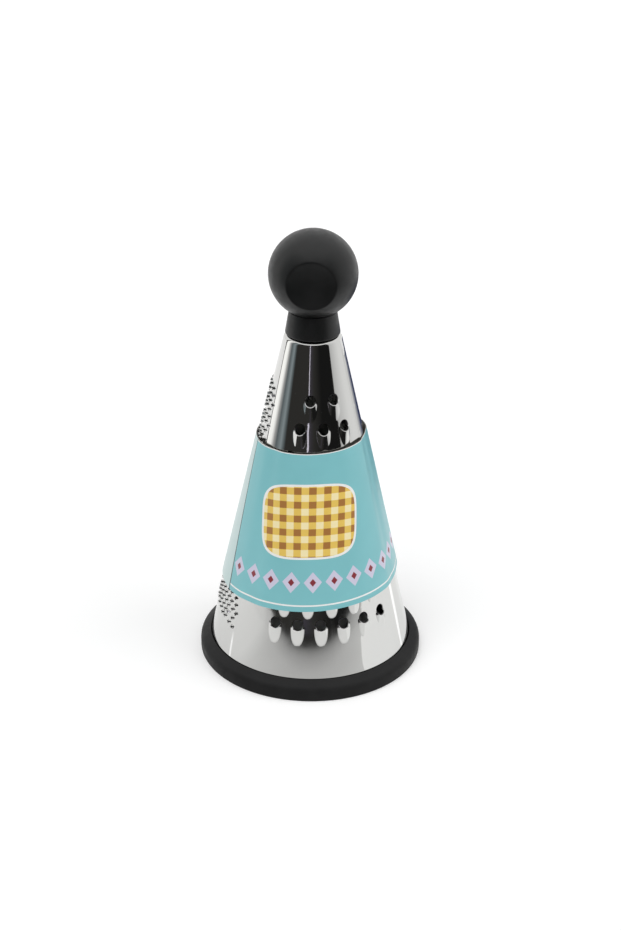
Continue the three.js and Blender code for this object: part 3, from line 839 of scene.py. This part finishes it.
column_degrees = [
    *stretch(SEAM, 72, 2), *stretch(72, 84, 3), *stretch(84, 156, 2.25), *stretch(156, 184, 2.8),
    *stretch(184, 298, 1.5), *stretch(298, 314, 2), *stretch(314, 406, 1.5), *stretch(406, SEAM + 360, 1),
    SEAM + 360,
]
columns = [radians(azimuth) for azimuth in column_degrees]
heights = [
    *stretch(cone_low.z, SEAM_FOOT, PLAIN_STEP), *stretch(SEAM_FOOT, FIRST_LEVEL, PLAIN_STEP),
    *(FIRST_LEVEL + ROW_STEP * i for i in range(LEVELS)),
]
rows = [slope_distance(height) for height in heights]
rows += stretch(rows[-1] + TOP_STEP, straight, TOP_STEP)
rows += stretch(straight, bend_end, bend / BEND_CELLS)
rows += stretch(bend_end, bend_end + FLANGE, FLANGE / FLANGE_CELLS) + [bend_end + FLANGE]


def flat_grid(columns, rows):
    """A grid whose columns and rows lie at the given values."""
    bm = bmesh.new()
    bmesh.ops.create_grid(bm, x_segments=len(columns) - 1, y_segments=len(rows) - 1, size=1)
    for vert in bm.verts:
        column = round((vert.co.x + 1) / 2 * (len(columns) - 1))
        row = round((vert.co.y + 1) / 2 * (len(rows) - 1))
        vert.co = (columns[column], rows[row], 0)
    return bm


sheet = flat_grid(columns, rows)
cells = {}
for face in sheet.faces:
    middle = face.calc_center_median()
    cells[bisect_left(columns, middle.x) - 1, bisect_left(rows, middle.y) - 1] = face
print("blank:", len(columns) - 1, "columns and", len(rows) - 1, "rows")

# %% [markdown]
# A punch takes a window of cells out of the grid and draws the window's edge inward, loop by loop. Each loop
# has a formula for where it lies and how far it is lifted, so one punch can make any tooth.

# %% Punch


def nearest(values, value):
    """The index of the nearest of some values."""
    return min(range(len(values)), key=lambda i: abs(values[i] - value))


def punch(window, place, loops, lift):
    """Opens a window in the sheet and draws its edge inward to a tooth at an azimuth and a distance."""
    faces = [cells.pop(cell) for cell in window]
    chosen = set(faces)
    edges = dict.fromkeys(edge for face in faces for edge in face.edges)
    rim = [edge for edge in edges if sum(face in chosen for face in edge.link_faces) == 1]
    bmesh.ops.delete(sheet, geom=faces, context="FACES")
    for loop in loops:
        rim, verts = grow(sheet, rim)
        for vert in verts:
            aside = (vert.co.x - place[0]) * slope_radius(vert.co.y)
            spot = loop(Vector((aside, vert.co.y - place[1])))
            along = place[1] + spot.y
            vert.co = (place[0] + spot.x / slope_radius(along), along, lift(spot))


def smooth_step(low, high, value):
    share = min(max((value - low) / (high - low), 0), 1)
    return share * share * (3 - 2 * share)


print("punch ready for", len(cells), "cells")

# %% [markdown]
# A coarse tooth is a round hole with a blunt tongue below it. The tongue is arched and rises from its tip to
# the hole, so the hole's lower lip is a cutting edge. Its outline is a blunt half ellipse. Loops follow that
# outline outside, on and inside it, and the last two turn the hole's edge in a little.

# %% Coarse teeth
HOLE, HOLE_TALL = 2.6 * MM, 2.8 * MM
HOLE_EDGE = 0.25 * MM
NEAR_HOLE = 1.03  # of the hole's size, for a spot on its edge
TOOTH_RISE = 1.6 * MM
TONGUE_HALF = 3.4 * MM
TONGUE_TOP, TONGUE_TIP = -1.5 * MM, -10.9 * MM
BLUNT = 2.3  # two would be an ellipse
LIP_START = -0.9 * MM
LIP_RAMP = 0.6 * MM
LOOP_SHARES = (1.06, 1, 0.88, 0.74, 0.56, 0.36, 0)
INWARD = 0.995  # a loop lies inside the one before it
HEART = Vector((0, TONGUE_TOP))  # a point inside the hole, which every loop can be seen from


def to_tongue(direction):
    """From the heart to the tongue's outline, which is blunter than an ellipse."""
    tall = TONGUE_HALF if direction.y > 0 else TONGUE_TOP - TONGUE_TIP
    powers = abs(direction.x / TONGUE_HALF) ** BLUNT + abs(direction.y / tall) ** BLUNT
    return powers ** (-1 / BLUNT)


def to_hole(direction, pad):
    """From the heart to the outline of the hole, when it is widened by a pad."""
    wide, tall = HOLE + pad, HOLE_TALL + pad
    square = (direction.x / wide) ** 2 + (direction.y / tall) ** 2
    slide = HEART.y * direction.y / tall**2
    return (sqrt(slide**2 + square * (1 - (HEART.y / tall) ** 2)) - slide) / square


def tooth_loop(share, pad=HOLE_EDGE):
    """A loop at a share of the way to the tongue's outline, and outside the hole."""
    def loop(spot):
        way = spot - HEART
        direction = way.normalized()
        reach = max(share * to_tongue(direction), to_hole(direction, pad))
        return HEART + direction * min(reach, INWARD * way.length)
    return loop


def tooth_lift(spot):
    """An arch across the tongue, which rises along it and stops at the hole's lower half."""
    below = max((TONGUE_TOP - spot.y) / (TONGUE_TOP - TONGUE_TIP), 0)
    half_width = TONGUE_HALF * max(1 - below**BLUNT, 1e-3) ** (1 / BLUNT)
    arch = 1 - min(abs(spot.x) / half_width, 1) ** 2
    lip = 1 - smooth_step(LIP_START - LIP_RAMP, LIP_START, spot.y)
    turned_in = HOLE_EDGE if hypot(spot.x / HOLE, spot.y / HOLE_TALL) < NEAR_HOLE else 0
    return TOOTH_RISE * max(1 - below, 0) * arch * lip - turned_in


tooth_loops = [tooth_loop(share) for share in LOOP_SHARES] + [tooth_loop(0, pad=0)]
print("a coarse tooth has", len(tooth_loops), "loops")

# %% [markdown]
# The coarse teeth stand in level rows, each centred on the front. Rows of even and odd numbers take turns,
# so a tooth stands between two of the row below.

# %% Rows of coarse teeth
TOOTH_SPACING = 11.6 * MM
TOOTH_WINDOW = 4.6 * MM
FIRST_TOOTH_HEIGHT = 37.3 * MM
TEETH_IN_ROWS = (6, 5, 4, 5, 4, 3, 4, 3, 2)
for i, count in enumerate(TEETH_IN_ROWS):
    along = slope_distance(FIRST_TOOTH_HEIGHT + TOOTH_PITCH * i)
    radius = slope_radius(along)
    low_row = nearest(rows, along + HOLE_TALL + HOLE_EDGE) - PITCH_CELLS
    for j in range(count):
        azimuth = tau + (j - (count - 1) / 2) * TOOTH_SPACING / radius
        left, right = (nearest(columns, azimuth + side * TOOTH_WINDOW / radius) for side in (-1, 1))
        window = [(c, r) for c in range(left, right) for r in range(low_row, low_row + PITCH_CELLS)]
        punch(window, (azimuth, along), tooth_loops, tooth_lift)
print("coarse teeth:", sum(TEETH_IN_ROWS))

# %% [markdown]
# The fine side is a rasp. A square needle is pushed through the sheet from behind and leaves four small
# petals standing around each hole. The needles stand in straight rows on the flat blank, so the rows look
# bent when it is rolled up. There are hundreds of points, so each one gets only two loops.

# %% Fine points
POINT_SPACING = 4.2 * MM
POINT_ROW_STEP = 3.64 * MM
POINTS_ASIDE = 12
POINT_LOWEST, POINT_HIGHEST = 25.5 * MM, 152 * MM
POINT_AZIMUTH = radians(240)
POINT_WINDOW = 1.2 * MM
POINT_FOOT = 1.3 * MM
FOOT_INWARD = 0.96  # a foot lies inside its window
POINT_RIM, RIM_SWING = 0.83 * MM, 0.14 * MM
POINT_LIFT, LIFT_SWING = 0.65 * MM, 0.4 * MM
LIFTED_WITHIN = 0.98 * MM
RASP_REACH = radians(53.5)
RASP_SLANT = radians(8)
apex = FOOT_RADIUS / sin(lean)


def rasp_reach(along):
    """The rasp's reach to each side of its middle. It narrows towards the top."""
    return RASP_REACH - RASP_SLANT * along / straight


def on_blank(aside, from_apex):
    """Azimuth and distance up the slope of a spot beside the rasp's middle line."""
    azimuth = POINT_AZIMUTH + atan2(aside, from_apex) / sin(lean)
    return azimuth, apex - hypot(aside, from_apex)


def petals(spot):
    """Plus one on a petal's middle and minus one in a slit."""
    return cos(4 * atan2(spot.y, spot.x))


def point_foot(spot):
    return spot.normalized() * min(POINT_FOOT, FOOT_INWARD * spot.length)


def point_rim(spot):
    return spot.normalized() * (POINT_RIM - RIM_SWING * petals(spot))


def point_lift(spot):
    return POINT_LIFT + LIFT_SWING * petals(spot) if spot.length < LIFTED_WITHIN else 0


points = 0
lowest, highest = slope_distance(POINT_LOWEST), slope_distance(POINT_HIGHEST)
first_line = (apex - lowest) * cos(rasp_reach(lowest) * sin(lean))
for i in range(int((highest - lowest) / POINT_ROW_STEP)):
    for j in range(-POINTS_ASIDE, POINTS_ASIDE + 1):
        azimuth, along = on_blank((j + i % 2 / 2) * POINT_SPACING, first_line - i * POINT_ROW_STEP)
        if abs(azimuth - POINT_AZIMUTH) < rasp_reach(along) and along < highest:
            column, row = nearest(columns, azimuth), nearest(rows, along)
            place = (columns[column], rows[row])
            cell_width = (columns[column + 1] - columns[column]) * slope_radius(along)
            half = max(round(POINT_WINDOW / cell_width), 1)
            window = [(c, r) for c in range(column - half, column + half) for r in (row - 1, row)]
            punch(window, place, [point_foot, point_rim], point_lift)
            points += 1
print("fine points:", points)

# %% [markdown]
# The third side slices. Each blade is a wide strip that ramps up to a straight edge with a slot above it.
# The grid is fine enough there to be pushed up directly, and the slots are cells that are left out.

# %% Slicing blades
BLADES = 4
BLADE_LOWEST, BLADE_PITCH = 36.9 * MM, 28 * MM
BLADE_AZIMUTH = radians(120)
BLADE_HALF_SPAN = radians(31)
BLADE_END = radians(5)
BLADE_RAMP = 9 * MM
BLADE_RISE = 1 * MM
SLOT_ROWS = 2
SLOT_SHARE = 0.4  # of the rise, where the ends of a slot are
blade_rows = [nearest(rows, slope_distance(BLADE_LOWEST + BLADE_PITCH * i)) for i in range(BLADES)]


def blade_share(azimuth):
    return smooth_step(0, BLADE_END, BLADE_HALF_SPAN - abs(azimuth - BLADE_AZIMUTH))


for vert in sheet.verts:
    if abs(vert.co.x - BLADE_AZIMUTH) < BLADE_HALF_SPAN:
        for row in blade_rows:
            below = rows[row] - vert.co.y
            if -TOUCHING < below < BLADE_RAMP:
                vert.co.z = BLADE_RISE * (1 - below / BLADE_RAMP) * blade_share(vert.co.x)
slots = [
    (c, r + k) for r in blade_rows for k in range(SLOT_ROWS) for c in range(len(columns) - 1)
    if min(blade_share(columns[c]), blade_share(columns[c + 1])) > SLOT_SHARE
]
bmesh.ops.delete(sheet, geom=[cells.pop(slot) for slot in slots], context="FACES")
print("slicing blades:", len(blade_rows), "with", len(slots), "cells cut out")

# %% [markdown]
# Pressed sheet is never quite flat. The rasp has left a crease along each of its sides, and a slow wobble
# bends the reflections. The outer end is pressed down over the inner end, with a small slope that starts
# gently above the ring.

# %% Lap, creases and wobble
LAP_STEP = 0.4 * MM
LAP_SLOPE = 1.3 * MM
LAP_WIDTH = radians(8)
LAP_FADE = radians(10)
LAP_START = 14 * MM
CREASE_LIFT = 0.12 * MM
CREASE_WIDTH = 1.3 * MM
END_FADE = 3 * MM
WOBBLE = 0.02 * MM
WOBBLE_LENGTH = 18 * MM
SEAM_FALL = 1.2 * MM
ends = (columns[0], columns[-1])
seam_low, seam_high = slope_distance(SEAM_FOOT), straight - SEAM_FALL


def base_lift(azimuth, along):
    """Lift of the plain sheet: its lap, a crease along each side of the rasp and a wobble."""
    past = azimuth - min(ends, key=lambda end: abs(azimuth - end))
    slope = LAP_SLOPE / slope_radius(along)
    lap = LAP_STEP * smooth_step(-slope, 0, past) * (1 - smooth_step(LAP_WIDTH, LAP_WIDTH + LAP_FADE, past))
    lap *= smooth_step(seam_low, seam_low + LAP_START, along)
    edge = (abs(azimuth - POINT_AZIMUTH) - rasp_reach(along)) * slope_radius(along) / CREASE_WIDTH
    crease = CREASE_LIFT * exp(-edge * edge)
    shown = smooth_step(seam_low, seam_low + END_FADE, along)
    shown *= smooth_step(seam_high, seam_high - END_FADE, along)
    spot = Vector((azimuth * slope_radius(along), along, 0)) / WOBBLE_LENGTH
    return (lap + crease) * shown + WOBBLE * noise.noise(spot)


print("the seam is", round((seam_high - seam_low) / MM), "mm long")

# %% [markdown]
# Now the blank gets its thickness, and a map for the polish. The walls at its ends are left out, because the
# ends meet. Then every point is rolled to its place on the cone.

# %% Thickness, map and rolling
AT_END = 1e-5
ROLLED_SPOT = 0.002 * MM


def roll(azimuth, along, lift):
    """The place on the cone of a point of the flat sheet."""
    if along <= straight:
        radius = slope_radius(along) + lift * cos(lean)
        return around(azimuth, radius, cone_low.z + along * cos(lean) + lift * sin(lean))
    if along <= bend_end:
        angle = lean + (along - straight) / SHOULDER_ROUND
        reach = SHOULDER_ROUND + lift
        return around(azimuth, BEND_RADIUS + reach * cos(angle), bend_height + reach * sin(angle))
    return around(azimuth, BEND_RADIUS - (along - bend_end), cone_high.z + lift)


polished = set(sheet.faces)
polished.update(thicken(sheet, -SHEET))
for face in sheet.faces:
    face.material_index = 0 if face in polished else 1
end_walls = [f for f in sheet.faces if any(all(abs(v.co.x - end) < AT_END for v in f.verts) for end in ends)]
bmesh.ops.delete(sheet, geom=end_walls, context="FACES")
polish_map = sheet.loops.layers.uv.new("polish_map")
for face in sheet.faces:
    for corner in face.loops:
        azimuth, along, _ = corner.vert.co
        corner[polish_map].uv = (azimuth * FOOT_RADIUS, along)
for vert in sheet.verts:
    azimuth, along, lift = vert.co
    vert.co = roll(azimuth, along, lift + base_lift(azimuth, along))
bmesh.ops.remove_doubles(sheet, verts=sheet.verts, dist=ROLLED_SPOT)
bmesh.ops.recalc_face_normals(sheet, faces=sheet.faces)
open_edges = sum(edge.is_boundary for edge in sheet.edges)
print("rolled sheet has", len(sheet.faces), "faces and", open_edges, "open edges")
add_piece("steel_cone", sheet, [polished_steel, sheared_steel], "grater_cone")

# %% [markdown]
# Painted highlights: along the lap and at the foot of one crease, where a bright reflection runs, the
# steel's colour is raised to near white. Each bright line is drawn on the polish map, with soft sides and a
# soft upper end.

# %% Painted highlight lines
HIGHLIGHT_STEEL = (0.97, 0.97, 0.96)
HIGHLIGHT_FADE = 6 * MM
CREASE_LINE, CREASE_LINE_TOP = 1.3 * MM, 24 * MM
LAP_LINE, LAP_LINE_TOP = 1.8 * MM, 60 * MM


def paint_highlights(lines):
    """Paints highlight lines into the steel's colour. Each has an azimuth at the foot, its change up the
    sheet, a width and a top.
    """
    tree = polished_steel.node_tree
    across, along, _ = coordinates(tree, "UV")
    azimuth = calc("/", across, FOOT_RADIUS)
    radius = calc("-", FOOT_RADIUS, calc("*", along, sin(lean)))
    highlighted = 0.0
    for start, change, width, top in lines:
        middle = calc("+", calc("*", along, change), start)
        away = calc("*", calc("ABSOLUTE", calc("-", azimuth, middle)), radius)
        # whole within a quarter of the width, and gone at three quarters
        near = calc("-", 1.5, calc("*", away, 2 / width))
        below = calc("/", calc("-", slope_distance(top), along), HIGHLIGHT_FADE)
        near, below = (calc("MINIMUM", calc("MAXIMUM", share, 0.0), 1.0) for share in (near, below))
        highlighted = calc("MAXIMUM", highlighted, calc("*", near, below))
    # the painted highlight: the steel's colour goes to near white in the lines
    colour = blend(highlighted, STEEL, HIGHLIGHT_STEEL)
    feed(tree.nodes["Principled BSDF"], {"Base Color": colour})


bright_lines = [(POINT_AZIMUTH + RASP_REACH, -RASP_SLANT / straight, CREASE_LINE, CREASE_LINE_TOP)]
# the lap is at both ends of the map
bright_lines += [(end - LAP_SLOPE / FOOT_RADIUS, 0.0, LAP_LINE, LAP_LINE_TOP) for end in ends]
paint_highlights(bright_lines)
print("bright lines:", len(bright_lines))

# %% [markdown]
# ## The printed card
# The card is one strip, wrapped around the cone with its outer end glued over its inner end. It rides on the
# tips of the teeth and sinks in between them, and it has slipped down a little on one side. It is made flat
# too, and every point then goes to its place around the cone.

# %% Card
CARD = 0.35 * MM
CARD_EASE = 0.45 * MM
CARD_GLUE = 0.15 * MM
CARD_LOW, CARD_HIGH = 45 * MM, 123.3 * MM
CARD_SEAM, CARD_SKEW, CARD_LAP, CARD_FADE = -82, 7, 24, 12  # degrees
CARD_STEP = 2  # degrees
CARD_ROWS = 12
CARD_TILT = radians(2.6)
CARD_LOW_AZIMUTH = radians(-104)
TOOTH_ZONES = ((0, 78, 1.2 * MM), (-120, 92, 0.8 * MM), (120, 62, BLADE_RISE))  # middle, span and rise


def stand_off(azimuth):
    """How far the card stands off the cone at an azimuth in degrees."""
    low = LAP_STEP + SEAT_GAP
    lift = 0
    for middle, span, rise in TOOTH_ZONES:
        away = abs((azimuth - middle + 180) % 360 - 180)
        edge = span / 2 + CARD_FADE / 2
        near = 1 - smooth_step(edge, edge + CARD_FADE, away)
        lift = max(lift, near * (rise + CARD_EASE - low))
    return low + lift


def wrap(turned_by, share, lift):
    """The place of a point of the flat card, and its azimuth."""
    azimuth = CARD_SEAM + turned_by + CARD_SKEW * (0.5 - share)
    height = CARD_LOW + share * (CARD_HIGH - CARD_LOW)
    height -= tan(CARD_TILT) * cos(radians(azimuth) - CARD_LOW_AZIMUTH) * cone_radius(height)
    lapped = 1 - smooth_step(CARD_LAP, CARD_LAP + CARD_FADE, turned_by)
    lift += stand_off(azimuth) + lapped * (CARD + CARD_GLUE)
    radius = cone_radius(height) + lift * cos(lean)
    return around(radians(azimuth), radius, height + lift * sin(lean)), radians(azimuth)


turns = [CARD_STEP * i for i in range((360 + CARD_LAP) // CARD_STEP + 1)]
shares = [i / CARD_ROWS for i in range(CARD_ROWS + 1)]
card = flat_grid(turns, shares)
thicken(card, CARD)
print_map = card.loops.layers.uv.new("print_map")
card_length = (CARD_HIGH - CARD_LOW) / cos(lean)
for face in card.faces:
    face.material_index = 0 if all(vert.co.z > CARD / 2 for vert in face.verts) else 1
    for corner in face.loops:
        corner[print_map].uv = (wrap(*corner.vert.co)[1], corner.vert.co.y * card_length)
for vert in card.verts:
    vert.co = wrap(*vert.co)[0]
bmesh.ops.recalc_face_normals(card, faces=card.faces)
print("card strip:", len(turns) - 1, "steps around and", round(card_length / MM, 1), "mm up the slope")

# %% [markdown]
# The print is an invented pattern: a soft-cornered panel of tea-towel check, a row of lozenges and a fine
# line. It is drawn with plain sums on the card's own map, where u is the azimuth and v the distance up the
# card. A whole number of lozenges fits between the seam and the pale strip of painted sheen.

# %% Patterns
CHECK = 7 * MM
# the painted sheen starts at this azimuth and runs to the seam
SHEEN_START = radians(200)
LOZENGES = 19
LOZENGE_START = radians(-78.5)
LOZENGE_CELL = (SHEEN_START - LOZENGE_START) / LOZENGES
LOZENGE_MIDDLE = 15 * MM
LOZENGE_HALVES = (0.42, 5.5 * MM)  # half a width, as a share of a cell, and half a height
HEART_HALVES = (0.15, 2 * MM)


def soft_box(across, up, half_width, half_height):
    """One inside a box with soft corners."""
    powers = [
        calc("POWER", calc("ABSOLUTE", calc("/", place, half)), 4.0)
        for place, half in ((across, half_width), (up, half_height))
    ]
    return calc("<", calc("+", *powers), 1.0)


def stripes(place):
    return calc("<", calc("FRACT", calc("/", place, CHECK)), 0.5)


def lozenge(u, v, half_width, half_height):
    """One inside the lozenges of a row."""
    count = calc("/", calc("-", u, LOZENGE_START), LOZENGE_CELL)
    cell = calc("-", calc("FRACT", count), 0.5)
    aside = calc("ABSOLUTE", calc("/", cell, half_width))
    above = calc("ABSOLUTE", calc("/", calc("-", v, LOZENGE_MIDDLE), half_height))
    return calc("<", calc("+", aside, above), 1.0)


print("lozenges:", LOZENGES, "of", round(degrees(LOZENGE_CELL), 1), "degrees each")

# %% [markdown]
# The patterns are laid over a sea-green ground one after the other. The panel is flat on the unrolled card,
# so its place is worked out from the point where the card's sides would meet. The stretch of card before the
# seam is painted pale for the sheen it shows at a glancing angle, and a painted shadow runs along the glued
# end. The card's inside and its edges are grey board.

# %% Print
SEA_GREEN = (0.205, 0.52, 0.557)
PALE_GREEN = (0.212, 0.535, 0.572)
# PAINTED_SHEEN is a painted sheen: a pale sea green for the card's glancing side
PAINTED_SHEEN = (0.55, 0.7, 0.69)
SEAM_SHADOW = (0.05, 0.1, 0.11)
PAPER = (0.86, 0.86, 0.84)
CREAM = (0.92, 0.8, 0.46)
STRAW = (0.8, 0.55, 0.11)
BROWN = (0.39, 0.17, 0.04)
LILAC = (0.62, 0.6, 0.74)
DARK_RED = (0.25, 0.028, 0.04)
BOARD_DARK, BOARD_LIGHT = (0.36, 0.35, 0.33), (0.48, 0.47, 0.44)
PANEL_AZIMUTH = radians(-16)
PANEL_MIDDLE = 46 * MM
PANEL_HALF_WIDTH, PANEL_HALF_HEIGHT = 23 * MM, 18 * MM
PANEL_BORDER = 1.1 * MM
PAPER_MARGIN = 0.4 * MM
SEAM_SHADOW_WIDTH = 0.02
CARD_CLOUDS = 60
CARD_GLOSS = (0.28, 0.33)
FIBRES, BOARD_GRIT = 1500, 2500
BOARD_BUMP = 0.02 * MM
LINE_MIDDLE, LINE_HALF = 3 * MM, 0.4 * MM


def card_finish():
    material, tree, shader = new_finish("printed_card")
    u, v, _ = coordinates(tree, "UV")
    apex = cone_radius(CARD_LOW) / sin(lean)
    angle = calc("*", calc("-", u, PANEL_AZIMUTH), sin(lean))
    reach = calc("-", apex, v)
    across = calc("*", reach, calc("SINE", angle))
    up = calc("-", apex - PANEL_MIDDLE, calc("*", reach, calc("COSINE", angle)))
    weft, warp = stripes(across), stripes(up)
    check = blend(calc("MAXIMUM", weft, warp), CREAM, STRAW)
    check = blend(calc("*", weft, warp), check, BROWN)
    colour = blend(ranged(grain(tree, CLOUDS), 0, 1), SEA_GREEN, PALE_GREEN)
    margin = calc(">", v, card_length - PAPER_MARGIN)
    line = calc("<", calc("ABSOLUTE", calc("-", v, LINE_MIDDLE)), LINE_HALF)
    colour = blend(calc("MAXIMUM", line, margin), colour, PAPER)
    colour = blend(lozenge(u, v, *LOZENGE_HALVES), colour, LILAC)
    colour = blend(lozenge(u, v, *HEART_HALVES), colour, DARK_RED)
    # painted sheen: the card is made pale from here to the seam, for the sheen at a glancing angle
    colour = blend(calc(">", u, SHEEN_START), colour, PAINTED_SHEEN)
    # a painted shadow along the card's glued end, where its edge shades the layer beneath
    skew = calc("*", v, radians(CARD_SKEW) / card_length)
    from_end = calc("-", calc("+", u, skew), radians(CARD_SEAM + CARD_SKEW / 2))
    colour = blend(calc("<", from_end, SEAM_SHADOW_WIDTH), colour, SEAM_SHADOW)
    for border, filling in ((PANEL_BORDER, PAPER), (0, check)):
        panel = soft_box(across, up, PANEL_HALF_WIDTH + border, PANEL_HALF_HEIGHT + border)
        colour = blend(panel, colour, filling)
    feed(shader, {"Base Color": colour, "Roughness": ranged(grain(tree, CARD_CLOUDS), *CARD_GLOSS)})
    return material


def board_finish():
    material, tree, shader = new_finish("grey_board", roughness=0.85)
    fibres = ranged(grain(tree, FIBRES, 4), 0, 1)
    feed(shader, {"Base Color": blend(fibres, BOARD_DARK, BOARD_LIGHT)})
    add_bump(shader, grain(tree, BOARD_GRIT, 3), BOARD_BUMP)
    return material


add_piece("card_wrap", card, [card_finish(), board_finish()], "card_sleeve")
